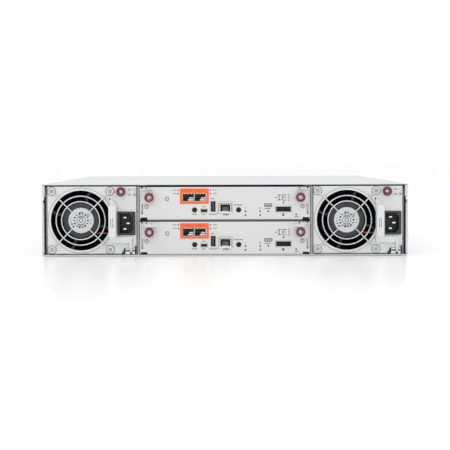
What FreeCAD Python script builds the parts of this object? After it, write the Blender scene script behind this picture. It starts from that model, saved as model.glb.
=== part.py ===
import FreeCAD, Part
import math
import os

# Two-unit rack enclosure for twelve disks.
# Frame: +X right and +Z up when facing the service side, which looks along -Y; the disk side looks along +Y.
# The origin is under the middle of the whole object, on the surface that it stands on.
# All values are millimetres.

Vec = FreeCAD.Vector

# ---------------------------------------------------------------- chassis
chassis_width = 447.0        # outside of the side walls
chassis_height = 88.0        # two rack units less the stacking gap
chassis_depth = 590.0        # rear edge of the walls to the front edge
face_recess = 0.6            # modules' faces behind the rear edge
sheet = 1.2                  # steel sheet of walls, cover and bay frame
floor_sheet = 1.5            # steel sheet of the floor and side walls
bend = 0.8                   # inside bend radius
hem_width = 9.0              # folded edge along an open end
hem_sheet = 0.9
cover_flange = 17.0          # side flange of the cover, below its top
joggle_gap = 3.0             # gap under the cover's flange
joggle_slope = 1.5           # height of the step that brings the wall inwards
seat_gap = 0.3               # clearance of a part that rests on its runner

# ---------------------------------------------------------------- bays on the service side
liner_in = 6.1               # outer end of a power bay from the outside of the wall
divider_edge = 3.0           # thickness of a divider at its folded edge
bay_end_gap = 18.0           # from the end of the bays to the midplane
divider_flange = 10.0        # flange along a divider's top
divider_notch = 6.0          # the flange starts this far behind the rear edge
liner_top_gap = 3.0          # liner's top flange under the cover
power_cover_gap = 1.8        # cover above a power module
controller_floor_gap = 1.05  # lower controller's face above the floor
controller_shelf_gap = 1.35  # shelf above the lower controller's face
controller_cover_gap = 2.6   # cover above the upper controller's face
controller_face_gap = 0.7    # upper controller's face above the shelf

# ---------------------------------------------------------------- power modules
power_gap = 0.5              # clearance each side of a power module
power_chamfer = 1.5          # lower edge of the face
power_corner = 1.0           # upright edges of the face
power_wall = 0.8
exhaust_count = 8            # slots in each row at the case's far end
exhaust_height = 18.0
exhaust_corner = 3.0
exhaust_low = 8.0            # lower row above the case's floor, and upper row under its top
fan_side_gap = 0.2           # fan frame's clearance in the case
fan_lower_gap = 1.0
fan_upper_gap = 0.6
fan_inlet_gap = 6.1          # fan frame to the inlet's body
fan_frame_depth = 38.0
fan_corner = 5.0
fan_flange = 5.0             # each of the frame's two square flanges
fan_hole_inset = 4.25        # screw holes from the frame's edges
fan_opening_inset = 3.3      # opening's edge from the frame's outline
opening_rim_width = 2.6
opening_rim_height = 1.0
duct_wall = 2.1              # thinnest wall between the duct and the frame's outline
duct_sleeve = 1.6            # duct's wall between the flanges
post_wall = 2.2              # wall round a screw's hole between the flanges
stator_recess = 2.0
stator_radius = 21.8
stator_thickness = 4.0
stator_boss_radius = 15.8
stator_boss_height = 0.6
strut_width = 3.0
strut_count = 4
strut_bow = 3.0
strut_turn = 18.0            # degrees from the first strut to level
rotor_gap = 0.8
rotor_hub_radius = 20.4
rotor_hub_depth = 26.0
blade_count = 7
blade_tip_gap = 0.8
blade_edge_gap = 0.8         # hub beyond each edge of a blade
blade_thickness = 1.2
blade_root_sweep = 34.0      # degrees that a blade covers at the hub
blade_tip_sweep = 44.0
blade_lean = 12.0            # degrees that the tip trails the root
shaft_radius = 1.5
bearing_depth = 3.0
running_fit = 0.05

wire_radius = 0.8
wire_sides = 8               # flats round the wire
guard_ring_insets = (6.8, 13.5)  # rings within the opening's edge
guard_leg_start = 15.4
guard_step_gap = 0.2         # a leg steps down to the face this far beyond the rim
guard_step_length = 3.8
guard_stand_off = 3.0        # rings' middle in front of the face
guard_cross_step = 1.2       # legs cross in front of the rings by this much
guard_bend = 2.0
guard_eye_radius = 4.6
guard_eye_thickness = 1.7
guard_screw_shank = 1.9
guard_screw_head = 3.6
guard_screw_head_height = 1.9
guard_screw_length = 9.0

inlet_width = 21.8
inlet_height = 28.8
inlet_edge = 1.5             # from the inlet's flange to the right edge of the face
inlet_below_fan = 3.6        # inlet's middle below the fan's middle
inlet_flange = 1.6
inlet_flange_corner = 1.2
inlet_body_margin = 1.4      # flange beyond the body, all round
inlet_body_depth = 24.0
inlet_mouth_width = 16.4
inlet_mouth_height = 24.2
inlet_mouth_chamfer = 4.6
inlet_mouth_depth = 16.0
blade_spacing = 14.0
earth_offset = 4.0
contact_blade_width = 4.0
contact_blade_thickness = 2.0
contact_blade_length = 13.0
earth_extra_length = 1.0

power_thumb_in = 18.9        # thumbscrew from the right edge of the face
power_thumb_drop = 4.9       # thumbscrew below the fan frame's top
lamp_in = 2.4
lamp_drop = 2.5
lamp_pitch = 6.0
lamp_radius = 1.9

latch_slot_width = 15.6      # slot under the inlet, from the right edge of the face
latch_slot_top = 9.8
power_pivot_height = 6.6
power_pivot_depth = 1.5      # pivot's middle behind the face
power_pivot_radius = 1.5
pivot_eye_radius = 3.0
lug_gap = 0.4                # between a lever's eye and each lug
power_lug_widths = (5.4, 3.0)
lug_front = 0.8              # lugs' near edge in front of the face
lug_back = 9.0               # lugs' far edge behind the face
lever_sheet = 1.5
lever_stand_off = 1.3        # lever's plate in front of the face
handle_width = 9.2
handle_inlet_gap = 0.3       # handle beside the inlet
handle_top_from_fan = 26.4
handle_shoulder_from_fan = 19.1
handle_arm_top_from_fan = -20.2
handle_arm_bottom_from_fan = -27.6
handle_reach = 17.5          # handle's grip in front of the face
handle_corner = 3.0
lever_blade_in = 6.8         # lever's blade from the right edge of the face
lever_blade_sheet = 2.4
lever_blade_reach = 2.9      # blade in front of the plate's back

# ---------------------------------------------------------------- thumbscrews
thumb_ring_radius = 5.6
thumb_ring_inner = 3.5
thumb_head_height = 5.5
thumb_cap_radius = 3.3
thumb_cap_sink = 0.8
thumb_slot_width = 1.0
thumb_slot_depth = 0.9
thumb_shank_radius = 1.9
thumb_shank_length = 6.0
thumb_hole_radius = 2.8
thumb_stand_off = 0.4

# ---------------------------------------------------------------- controller modules
controller_gap = 0.5
tray_wall = 1.0
tray_wall_drop = 5.2         # tray's walls below the top of the face
face_sheet = 1.2
edge_strip = 1.7             # face outside of a lever's slot
lever_slot_width = 1.8
lever_slot_bottom = 6.0
controller_pivot_height = 9.0
controller_pivot_depth = 3.2
controller_eye_radius = 2.6
controller_pivot_radius = 1.25
controller_lug_width = 2.4
controller_lever_width = 13.0
controller_lever_sheet = 1.0
controller_lever_drop = 2.6  # lever below the top of the face
controller_lever_skirt = 7.5  # lever's front plate below its thumbscrew
controller_tab = 7.0
controller_tab_rise = 0.8
controller_thumb_in = 11.6   # thumbscrew from the module's side
controller_thumb_drop = 10.1  # thumbscrew below the lever's top
corner_notch = 9.0           # opening of the face at its lower corners
corner_notch_height = 2.1
board_thickness = 1.6
board_stand = 4.0
board_margin = 3.0
board_front_gap = 8.0        # board's edge behind the face
board_back_gap = 12.0
board_corner = 2.0
standoff_radius = 2.5
standoff_inset = (8.0, 10.0)
board_plug_length = 14.0     # module's connector on the board
sink_count = 9               # fins of the heat sink
sink_fin = 1.2
sink_base = 4.0
sink_height = 18.0
# each block on the board: left and right edge over the board's half width,
# near and far edge over its length, and its height
sink_place = (-0.24, 0.24, 0.46, 0.69)
board_blocks = (
    (0.46, 0.82, 0.42, 0.56, 3.0),
    (-0.82, -0.46, 0.38, 0.65, 4.5),
)

# each port: middle from the middle of the face, and above the face's lower edge
cage_left = (-44.7, 26.5)
cage_pitch = 14.5
cage_opening = (13.2, 9.2)
cage_length = 48.0
cage_wall = 0.4
audio_jacks = ((-37.0, 11.2), (16.8, 11.2))
jack_radius = 3.1
jack_bore = 1.8
jack_length = 14.0
mini_port = (-25.5, 10.3)
mini_size = (7.6, 3.5)
host_port = (-14.3, 15.4)
host_size = (5.6, 12.6)
small_port_wall = 0.4
small_port_length = 14.0
network_port = (0.5, 13.8)
network_shield = (17.0, 14.2)
network_opening = (12.2, 8.8)
network_length = 21.0
network_depth = 15.0
expansion_in = 32.3          # expansion port's middle from the side of the face
expansion_up = 11.9
expansion_size = (18.8, 6.2)
expansion_wall = 0.7
expansion_length = 34.0
expansion_tongue = 1.2
port_gap = 0.25              # clearance between a port and its hole
port_proud = 0.6

# ---------------------------------------------------------------- disk side
disk_bay_depth = 212.0
disk_columns = 4
disk_rows = 3
row_top_gap = 0.7            # cover above the top row
guide_sheet = 1.2
guide_ledge = 2.6
guide_ledge_thickness = 1.0
side_rail_in = 4.0           # inner face of the outermost guides from the outside of the wall
carrier_side_gap = 0.6
carrier_length = 190.0
sled_rail = 3.0              # rail of a carrier beside its disk
disk_length = 147.0
disk_corner = 1.5
disk_in_row = 2.1            # a row's pitch less the disk's height
sled_back_bar = 6.0
bezel_depth = 17.0
bezel_corner = 1.5
bezel_gap = 0.7
vent_count = 9
vent_rows = 2
vent_width = 6.6
vent_depth = 10.0
vent_margin = 3.0            # lower row above the lower edge of a carrier's front
vent_bar = 1.6               # between the rows
vent_pocket_gap = 0.9
carrier_lever_height = 11.0
carrier_lever_sheet = 2.2
carrier_pocket_depth = 9.0
carrier_pivot_radius = 1.2
carrier_eye_radius = 2.6
carrier_pivot_inset = 7.0
carrier_finger_space = 16.0

midplane_thickness = 2.4
midplane_gap = 1.0
midplane_margin = 4.0
midplane_top_gap = 4.0
plug_gap = 0.3               # between mating connectors
disk_plug = (33.0, 6.4, 7.0)
module_plug = (64.0, 10.0, 12.0)
airflow_window = (52.0, 9.0)

ear_reach = 17.8             # flange outside of the chassis
ear_bottom = 4.0
ear_drop = 6.0               # top of the ears below the top of the chassis
ear_leg = 42.0
ear_sheet = 1.5
rack_slot_out = 9.05         # slot's middle outside of the chassis
rack_hole_spacing_z = 44.45
rack_slot_width = 6.8
rack_slot_length = 11.0

# ---------------------------------------------------------------- places that follow
service_reach = handle_reach - face_recess
disk_side_reach = seat_gap + bezel_depth
total_depth = service_reach + chassis_depth + disk_side_reach
rear = -total_depth / 2 + service_reach
front = rear + chassis_depth
face = rear + face_recess
half_width = chassis_width / 2
cover_bottom = chassis_height - sheet
wall_top = cover_bottom - bend
joggle_top = chassis_height - cover_flange - joggle_gap
power_bottom = floor_sheet + seat_gap
power_top = cover_bottom - power_cover_gap
fan_low = power_bottom + power_wall + fan_lower_gap
fan_square = power_top - power_wall - fan_upper_gap - fan_low
fan_height = fan_low + fan_square / 2
fan_from_left = power_wall + fan_side_gap + fan_square / 2
power_width = (fan_from_left + fan_square / 2 + fan_inlet_gap + inlet_width - inlet_body_margin
               + inlet_edge)
liner_face = half_width - liner_in
bay_inner = liner_face - power_width - 2 * power_gap
divider_offset = bay_inner - divider_edge / 2
latch_slot_from_left = power_width - latch_slot_width
blade_from_left = power_width - lever_blade_in
fan_hole_spacing = fan_square - 2 * fan_hole_inset
fan_opening_radius = fan_square / 2 - fan_opening_inset
duct_radius = fan_square / 2 - duct_wall
power_thumb_right = power_width - power_thumb_in
power_thumb_height = fan_height + fan_square / 2 - power_thumb_drop
lamp_right = power_width - lamp_in
lamp_height = fan_height + fan_square / 2 - lamp_drop
controller_half = divider_offset - divider_edge / 2 - controller_gap
controller_gaps = controller_floor_gap + controller_shelf_gap + controller_face_gap + controller_cover_gap
controller_height = (cover_bottom - floor_sheet - sheet - controller_gaps) / 2
tray_wall_height = controller_height - tray_wall_drop
controller_lever_top = controller_height - controller_lever_drop
controller_thumb_up = controller_lever_top - controller_thumb_drop
controller_lever_low = controller_thumb_up - controller_lever_skirt
expansion_port = (controller_half - expansion_in, expansion_up)
lower_base = floor_sheet + controller_floor_gap
shelf_height = lower_base + controller_height + controller_shelf_gap
upper_base = shelf_height + sheet + controller_face_gap
row_pitch = (cover_bottom - floor_sheet - row_top_gap) / disk_rows
disk_height = row_pitch - disk_in_row
side_rail_offset = half_width - side_rail_in
column_pitch = (2 * side_rail_offset + guide_sheet) / disk_columns
ear_top = chassis_height - ear_drop
rack_hole_spacing_x = chassis_width + 2 * rack_slot_out
midplane_rear = front - disk_bay_depth - midplane_gap - midplane_thickness
module_end = midplane_rear - module_plug[1] - plug_gap
bay_end = midplane_rear - bay_end_gap


# ---------------------------------------------------------------- shaping helpers
def box(low, high):
    """A block between two corners."""
    size = [high[i] - low[i] for i in range(3)]
    return Part.makeBox(size[0], size[1], size[2], Vec(*low))


def rod(base, direction, radius, length):
    """A round bar from base along a direction."""
    return Part.makeCylinder(radius, length, Vec(*base), Vec(*direction))


def fuse(shapes):
    """One solid from several that meet."""
    first = shapes[0]
    if len(shapes) > 1:
        first = first.fuse(shapes[1:])
    return first.removeSplitter()


def rounded_wire(corners, radii):
    """A closed wire in the XY plane through corners, each rounded by its radius."""
    count = len(corners)
    edges = []
    starts = []
    ends = []
    for i in range(count):
        here = Vec(corners[i][0], corners[i][1], 0)
        before = Vec(corners[i - 1][0], corners[i - 1][1], 0) - here
        after = Vec(corners[(i + 1) % count][0], corners[(i + 1) % count][1], 0) - here
        radius = radii[i]
        if radius <= 0:
            starts.append(here)
            ends.append(here)
            edges.append(None)
            continue
        half = before.getAngle(after) / 2
        reach = radius / math.tan(half)
        before.normalize()
        after.normalize()
        start = here + before * reach
        end = here + after * reach
        inward = before + after
        inward.normalize()
        middle = here + inward * (radius / math.sin(half) - radius)
        starts.append(start)
        ends.append(end)
        edges.append(Part.Arc(start, middle, end).toShape())
    loop = []
    for i in range(count):
        if edges[i] is not None:
            loop.append(edges[i])
        nxt = (i + 1) % count
        if (starts[nxt] - ends[i]).Length > 1e-6:
            loop.append(Part.LineSegment(ends[i], starts[nxt]).toShape())
    return Part.Wire(loop)


def prism(corners, radii, length):
    """A flat outline in the XY plane, raised along Z."""
    face = Part.Face(rounded_wire(corners, radii))
    return face.extrude(Vec(0, 0, length))


def plate_y(corners, radii, start, thickness):
    """A plate facing the service side, from its outline in X and Z."""
    plate = prism(corners, radii, thickness)
    plate.rotate(Vec(0, 0, 0), Vec(1, 0, 0), 90)
    plate.translate(Vec(0, start + thickness, 0))
    return plate


def plate_x(corners, radii, start, thickness):
    """A plate facing +X, from its outline in Y and Z."""
    plate = prism(corners, radii, thickness)
    plate.rotate(Vec(0, 0, 0), Vec(1, 1, 1), 120)
    plate.translate(Vec(start, 0, 0))
    return plate


def rectangle(left, low, right, high):
    """Four corners of an upright rectangle."""
    return [(left, low), (right, low), (right, high), (left, high)]


def rect_y(left, low, right, high, radius, start, thickness):
    """A rectangular plate or cutter facing the service side."""
    return plate_y(rectangle(left, low, right, high), [radius] * 4, start, thickness)


def sheet_outline(path, thickness, inside_bend):
    """Outline and corner radii of bent sheet whose left side follows an open path."""
    other = []
    radii_path = [0.0]
    radii_other = [0.0]
    count = len(path)
    for i in range(count):
        here = Vec(path[i][0], path[i][1], 0)
        turns = []
        if i > 0:
            turns.append(here - Vec(path[i - 1][0], path[i - 1][1], 0))
        if i < count - 1:
            turns.append(Vec(path[i + 1][0], path[i + 1][1], 0) - here)
        normals = []
        for turn in turns:
            turn.normalize()
            normals.append(Vec(turn.y, -turn.x, 0))
        if len(normals) == 1:
            shift = normals[0] * thickness
        else:
            total = normals[0] + normals[1]
            total.normalize()
            shift = total * (thickness / total.dot(normals[0]))
            left_turn = turns[0].x * turns[1].y - turns[0].y * turns[1].x > 0
            radii_path.append(inside_bend if left_turn else inside_bend + thickness)
            radii_other.append(inside_bend + thickness if left_turn else inside_bend)
        other.append((here.x + shift.x, here.y + shift.y))
    radii_path.append(0.0)
    radii_other.append(0.0)
    return list(path) + other[::-1], radii_path + radii_other[::-1]


def bent_along_y(path, thickness, inside_bend, start, length):
    """Bent sheet drawn in X and Z and running along +Y."""
    corners, radii = sheet_outline(path, thickness, inside_bend)
    return plate_y(corners, radii, start, length)


def moved(shape, x, y, z):
    """A copy of a shape at another place."""
    result = shape.copy()
    result.translate(Vec(x, y, z))
    return result


def mirrored(shape):
    """A copy of a shape on the other side of the middle plane."""
    return shape.mirror(Vec(0, 0, 0), Vec(1, 0, 0))


# ---------------------------------------------------------------- chassis
def chassis_base():
    """Floor and side walls, bent from one sheet, stepped in under the cover's flanges."""
    inset = half_width - sheet
    right = [
        (inset, wall_top),
        (inset, joggle_top + joggle_slope),
        (half_width, joggle_top),
        (half_width, 0),
    ]
    left = [(-x, z) for x, z in right[::-1]]
    pan = bent_along_y(right + left, floor_sheet, bend, rear, chassis_depth)
    parts = [pan]
    wall_inner = half_width - floor_sheet
    low_hem = rect_y(wall_inner - hem_sheet, floor_sheet + bend * 2, wall_inner,
                     joggle_top - joggle_gap, 0.0, rear, hem_width)
    high_inner = inset - floor_sheet
    high_hem = rect_y(high_inner - hem_sheet, joggle_top + joggle_gap + joggle_slope, high_inner,
                      wall_top, 0.0, rear, hem_width)
    for hem in (low_hem, high_hem):
        parts.append(hem)
        parts.append(mirrored(hem))
    return fuse(parts)


def top_cover():
    """Lid with a flange down each side, which lies over the step in the walls."""
    path = [
        (-half_width, chassis_height - cover_flange),
        (-half_width, chassis_height),
        (half_width, chassis_height),
        (half_width, chassis_height - cover_flange),
    ]
    return bent_along_y(path, sheet, bend, rear, chassis_depth)


def side_liner():
    """Inner wall of a power bay, with a foot, a flange towards the side wall and a folded near edge."""
    wall_inner = half_width - sheet - floor_sheet
    top = cover_bottom - liner_top_gap
    path = [
        (wall_inner - seat_gap, floor_sheet),
        (liner_face, floor_sheet),
        (liner_face, top),
        (wall_inner - seat_gap, top),
    ]
    start = rear + hem_width + seat_gap
    liner = bent_along_y(path, sheet, bend, start, bay_end - start)
    outer = liner_face + sheet
    fold = rect_y(outer, floor_sheet + sheet + bend, outer + sheet, top - sheet - bend, 0.0, start,
                  hem_width)
    return fuse([liner, fold])


def divider():
    """Wall between a power bay and the controller bays, folded double along its rear edge."""
    middle = divider_offset
    path = [
        (middle + sheet / 2 - divider_flange, cover_bottom),
        (middle + sheet / 2, cover_bottom),
        (middle + sheet / 2, floor_sheet),
    ]
    wall = bent_along_y(path, sheet, bend, rear, bay_end - rear)
    notch = box((middle - divider_flange, rear - 1, cover_bottom - sheet - bend),
                (middle + divider_edge, rear + divider_notch, cover_bottom + 1))
    wall = wall.cut(notch)
    fold = prism(
        [(middle - divider_edge / 2, rear), (middle + divider_edge / 2, rear),
         (middle + divider_edge / 2, rear + hem_width), (middle - divider_edge / 2, rear + hem_width)],
        [divider_edge / 3, divider_edge / 3, 0.0, 0.0],
        cover_bottom - sheet - bend - floor_sheet,
    )
    fold.translate(Vec(0, 0, floor_sheet))
    return fuse([wall, fold])


def bay_frame():
    """Two liners, and two dividers that carry the shelf between the controllers."""
    reach = divider_offset - sheet / 2
    shelf = box((-reach, rear + hem_width, shelf_height), (reach, bay_end, shelf_height + sheet))
    edge_reach = divider_offset - divider_edge / 2
    shelf_edge = box((-edge_reach, rear + 0.4, shelf_height), (edge_reach, rear + hem_width,
                     shelf_height + sheet))
    cross = fuse([divider(), mirrored(divider()), shelf, shelf_edge])
    liner = side_liner()
    return Part.makeCompound([cross, liner, mirrored(liner)])


def disk_plug_places():
    """Middle of each disk's connector on the midplane, in X and Z."""
    places = []
    for column in range(disk_columns):
        for row in range(disk_rows):
            places.append((column_middle(column), row_base(row) + disk_height / 2))
    return places


def module_plug_places():
    """Middle of each module's connector on the midplane, in X and Z."""
    power_x = (bay_inner + liner_face) / 2
    tray_up = tray_wall + board_stand + board_thickness + module_plug[2] / 2
    return [
        (-power_x, fan_height),
        (power_x, fan_height),
        (0.0, lower_base - controller_face_gap + tray_up),
        (0.0, upper_base - controller_face_gap + tray_up),
    ]


def midplane_board():
    """Upright circuit board across the chassis, with windows for the airflow."""
    reach = side_rail_offset - midplane_margin
    top = cover_bottom - midplane_top_gap
    board = rect_y(-reach, floor_sheet, reach, top, 0.0, midplane_rear, midplane_thickness)
    windows = []
    for column in range(disk_columns):
        for row in range(disk_rows - 1):
            x = column_middle(column)
            z = (row_base(row) + row_base(row + 1) + disk_height) / 2
            for side in (-1, 1):
                middle = x + side * airflow_window[0] / 2
                half = airflow_window[0] / 2 - 2.0
                windows.append(rect_y(middle - half, z - airflow_window[1] / 2, middle + half,
                                      z + airflow_window[1] / 2, 2.0, midplane_rear - 1,
                                      midplane_thickness + 2))
    return board.cut(Part.makeCompound(windows))


def midplane_plugs():
    """Connectors for the disks on one face of the midplane and for the modules on the other."""
    plugs = []
    for x, z in disk_plug_places():
        plugs.append(rect_y(x - disk_plug[0] / 2, z - disk_plug[2] / 2, x + disk_plug[0] / 2,
                            z + disk_plug[2] / 2, 1.0, midplane_rear + midplane_thickness,
                            disk_plug[1]))
    for x, z in module_plug_places():
        plugs.append(rect_y(x - module_plug[0] / 2, z - module_plug[2] / 2, x + module_plug[0] / 2,
                            z + module_plug[2] / 2, 1.0, midplane_rear - module_plug[1],
                            module_plug[1]))
    return Part.makeCompound(plugs)


def rack_ears():
    """Two angle brackets that bolt the chassis to a rack's uprights."""
    path = [
        (half_width, front - ear_leg),
        (half_width, front),
        (half_width + ear_reach, front),
    ]
    corners, radii = sheet_outline(path, ear_sheet, bend)
    ear = prism(corners, radii, ear_top - ear_bottom)
    ear.translate(Vec(0, 0, ear_bottom))
    slots = []
    for side in (-1, 1):
        z = chassis_height / 2 + side * rack_hole_spacing_z / 2
        x = rack_hole_spacing_x / 2
        slots.append(rect_y(x - rack_slot_length / 2, z - rack_slot_width / 2,
                            x + rack_slot_length / 2, z + rack_slot_width / 2,
                            rack_slot_width / 2 - 0.001, front - ear_sheet - 1, ear_sheet + 2))
    ear = ear.cut(Part.makeCompound(slots))
    return Part.makeCompound([ear, mirrored(ear)])


# ---------------------------------------------------------------- disk side
def column_middle(column):
    """Middle of a column of disks."""
    return (column - (disk_columns - 1) / 2) * column_pitch


def row_base(row):
    """Underside of the carriers in a row."""
    return floor_sheet + seat_gap + row * row_pitch


def guide_wall(middle, sides):
    """Upright wall of the disk bay with a ledge under each carrier on the sides given."""
    start = front - disk_bay_depth
    top = cover_bottom - seat_gap
    left = middle - guide_sheet / 2
    right = middle + guide_sheet / 2
    parts = [box((left, start, floor_sheet), (right, front, top))]
    for row in range(1, disk_rows):
        ledge_top = row_base(row) - seat_gap
        low = ledge_top - guide_ledge_thickness
        for side in sides:
            edge = middle + side * (guide_sheet / 2 + guide_ledge)
            parts.append(box((min(middle, edge), start, low), (max(middle, edge), front, ledge_top)))
    return fuse(parts)


def disk_guides():
    """Walls between the columns of disks, and one beside each outer column."""
    walls = []
    for column in range(disk_columns - 1):
        middle = (column_middle(column) + column_middle(column + 1)) / 2
        walls.append(guide_wall(middle, (-1, 1)))
    outer = guide_wall(side_rail_offset + guide_sheet / 2, (-1,))
    walls.append(outer)
    walls.append(mirrored(outer))
    return Part.makeCompound(walls)


def carrier_height():
    """Height of a disk carrier between two ledges."""
    return row_pitch - guide_ledge_thickness - 2 * seat_gap


def carrier_half_width():
    """Half of the width of a carrier between two guides."""
    return (column_pitch - guide_sheet) / 2 - carrier_side_gap


def bezel_half_width():
    """Half of the width of a carrier's front."""
    return (column_pitch - bezel_gap) / 2


def disk_carrier():
    """Carrier with its disk, in the middle of the row, standing on its own underside."""
    high = carrier_height()
    half = carrier_half_width()
    disk_half = half - sled_rail
    back = front - carrier_length
    middle = high / 2
    rail_groove = high / 3
    rail = plate_y(
        [(half, 0), (half, middle - rail_groove / 2), (half - 1.0, middle - rail_groove / 2 + 1.0),
         (half - 1.0, middle + rail_groove / 2 - 1.0), (half, middle + rail_groove / 2), (half, high),
         (disk_half, high), (disk_half, 0)],
        [0.0] * 8, back, carrier_length + seat_gap)
    disk = rect_y(-disk_half, (high - disk_height) / 2, disk_half, (high + disk_height) / 2,
                  disk_corner, back + sled_back_bar, disk_length)
    back_bar = box((-half, back, 0), (half, back + sled_back_bar, high / 3))
    bezel_start = front + seat_gap
    bezel_half = bezel_half_width()
    bezel_up = (row_pitch - bezel_gap) / 2
    bezel = rect_y(-bezel_half, middle - bezel_up, bezel_half, middle + bezel_up, bezel_corner,
                   bezel_start, bezel_depth)
    bezel = bezel.cut(Part.makeCompound(carrier_vents(middle - bezel_up) + [carrier_pocket()]))
    pivot_x, pivot_y = carrier_pivot()
    low, high_edge = carrier_pocket_levels()
    pin = rod((pivot_x, pivot_y, low - 1), (0, 0, 1), carrier_pivot_radius, high_edge - low + 2)
    return fuse([bezel, pin, rail, mirrored(rail), disk, back_bar])


def carrier_vents(bezel_low):
    """Rows of vents under the lever's pocket, cut into a carrier's front from its outside."""
    low = bezel_low + vent_margin
    high = carrier_pocket_levels()[0] - vent_pocket_gap
    height = (high - low - (vent_rows - 1) * vent_bar) / vent_rows
    pitch = (2 * bezel_half_width() - 4 * bezel_corner) / vent_count
    outer = front + seat_gap + bezel_depth
    vents = []
    for i in range(vent_count):
        x = (i - (vent_count - 1) / 2) * pitch
        for row in range(vent_rows):
            base = low + row * (height + vent_bar)
            vents.append(box((x - vent_width / 2, outer - vent_depth, base),
                             (x + vent_width / 2, outer + 1, base + height)))
    return vents


def carrier_pocket_levels():
    """Lower and upper side of the pocket that holds a carrier's lever."""
    top = (carrier_height() + row_pitch - bezel_gap) / 2 - 1.6
    return top - carrier_lever_height - 2 * seat_gap, top


def carrier_pivot():
    """Middle of the lever's pin in X and Y."""
    outer = front + seat_gap + bezel_depth
    return bezel_half_width() - carrier_pivot_inset, outer - carrier_eye_radius - 1.0


def carrier_pocket():
    """Space in a carrier's front for the lever and for the finger that pulls it."""
    low, high = carrier_pocket_levels()
    half = bezel_half_width() - bezel_corner
    outer = front + seat_gap + bezel_depth
    corners = [(-half, outer + 1), (-half, outer - carrier_pocket_depth),
               (half, outer - carrier_pocket_depth), (half, outer + 1)]
    pocket = prism(corners, [0.0, 4.0, 3.0, 0.0], high - low)
    pocket.translate(Vec(0, 0, low))
    return pocket


def carrier_lever():
    """Latch lever of a carrier: an eye on the pin, a bar across the front and a curled end."""
    low, high = carrier_pocket_levels()
    pivot_x, pivot_y = carrier_pivot()
    outer = front + seat_gap + bezel_depth - seat_gap
    end = -bezel_half_width() + carrier_finger_space
    path = [(pivot_x, outer), (end, outer), (end - 4.0, outer - 5.0)]
    corners, radii = sheet_outline(path[::-1], carrier_lever_sheet, 3.0)
    bar = prism(corners, radii, carrier_lever_height)
    eye = rod((pivot_x, pivot_y, 0), (0, 0, 1), carrier_eye_radius, carrier_lever_height)
    web = box((pivot_x - carrier_eye_radius, pivot_y, 0), (pivot_x, outer, carrier_lever_height))
    lever = fuse([bar, eye, web])
    hole = rod((pivot_x, pivot_y, -1), (0, 0, 1), carrier_pivot_radius + running_fit,
               carrier_lever_height + 2)
    lever = lever.cut(hole)
    lever.translate(Vec(0, 0, low + seat_gap))
    return lever


# ---------------------------------------------------------------- power modules
# Each is drawn with its left edge at X = 0.
def fan_middle(depth):
    """A point on the fan's axis, this far behind the face."""
    return Vec(fan_from_left, face + depth, fan_height)


def fan_corners(spacing):
    """Four places round the fan's middle, in X and Z."""
    half = spacing / 2
    return [(fan_from_left + sx * half, fan_height + sz * half) for sx in (-1, 1) for sz in (-1, 1)]


def fan_disc(radius, start, thickness):
    """A disc on the fan's axis, from this far behind the face."""
    return rod((fan_from_left, face + start, fan_height), (0, 1, 0), radius, thickness)


def inlet_middle():
    """Middle of the mains inlet in X and Z."""
    return power_width - inlet_edge - inlet_width / 2, fan_height - inlet_below_fan


def power_case():
    """Steel case with the fan's opening, the inlet's hole, the latch slot and the lever's lugs."""
    outline = [(0, face), (power_width, face), (power_width, module_end), (0, module_end)]
    shell = prism(outline, [power_corner, power_corner, 0.0, 0.0], power_top - power_bottom)
    shell.translate(Vec(0, 0, power_bottom))
    edge_cut = plate_x([(face - 1, power_bottom - 1), (face + power_chamfer + 1, power_bottom - 1),
                        (face - 1, power_bottom + power_chamfer + 1)], [0.0] * 3, -1, power_width + 2)
    shell = shell.cut(edge_cut)
    room = box((power_wall, face + power_wall, power_bottom + power_wall),
               (power_width - power_wall, module_end - power_wall, power_top - power_wall))
    rim = fan_disc(fan_opening_radius + opening_rim_width, -opening_rim_height,
                   opening_rim_height + power_wall)
    shell = shell.cut(room).fuse(rim)
    x, z = inlet_middle()
    half_w = inlet_width / 2 - inlet_body_margin + port_gap
    half_h = inlet_height / 2 - inlet_body_margin + port_gap
    slot_low = power_bottom + power_wall
    cutters = [
        fan_disc(fan_opening_radius, -opening_rim_height - 1, power_wall + opening_rim_height + 2),
        rect_y(x - half_w, z - half_h, x + half_w, z + half_h, inlet_flange_corner, face - 1,
               power_wall + 2),
        box((latch_slot_from_left, face - 1, slot_low), (power_width + 1, face + power_wall + 0.5,
            latch_slot_top)),
        rod((power_thumb_right, face - 1, power_thumb_height), (0, 1, 0), thumb_hole_radius,
            power_wall + 2),
    ]
    for i in range(2):
        cutters.append(rod((lamp_right, face - 1, lamp_height - i * lamp_pitch), (0, 1, 0), lamp_radius,
                           power_wall + 2))
    for x, z in fan_corners(fan_hole_spacing):
        cutters.append(rod((x, face - 1, z), (0, 1, 0), guard_screw_shank + port_gap, power_wall + 2))
    pitch = (power_width - 4 * power_corner) / exhaust_count
    for i in range(exhaust_count):
        x = 2 * power_corner + (i + 0.5) * pitch
        for low in (power_top - exhaust_low - exhaust_height, power_bottom + exhaust_low):
            cutters.append(rect_y(x - pitch / 3, low, x + pitch / 3, low + exhaust_height, exhaust_corner,
                                  module_end - power_wall - 1, power_wall + 2))
    shell = shell.cut(Part.makeCompound(cutters))
    parts = [shell]
    eye_half = lever_blade_sheet / 2 + lug_gap
    left_lug = blade_from_left - eye_half - power_lug_widths[0]
    right_lug = blade_from_left + eye_half
    for start, width in ((left_lug, power_lug_widths[0]), (right_lug, power_lug_widths[1])):
        parts.append(box((start, face - lug_front, slot_low - power_wall / 2),
                         (start + width, face + lug_back, latch_slot_top - seat_gap)))
    pin_length = right_lug - left_lug
    parts.append(rod((left_lug, face + power_pivot_depth, power_pivot_height), (1, 0, 0),
                     power_pivot_radius, pin_length))
    lugs = parts[1].fuse(parts[2])
    return fuse([shell, lugs, parts[3]])


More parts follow.
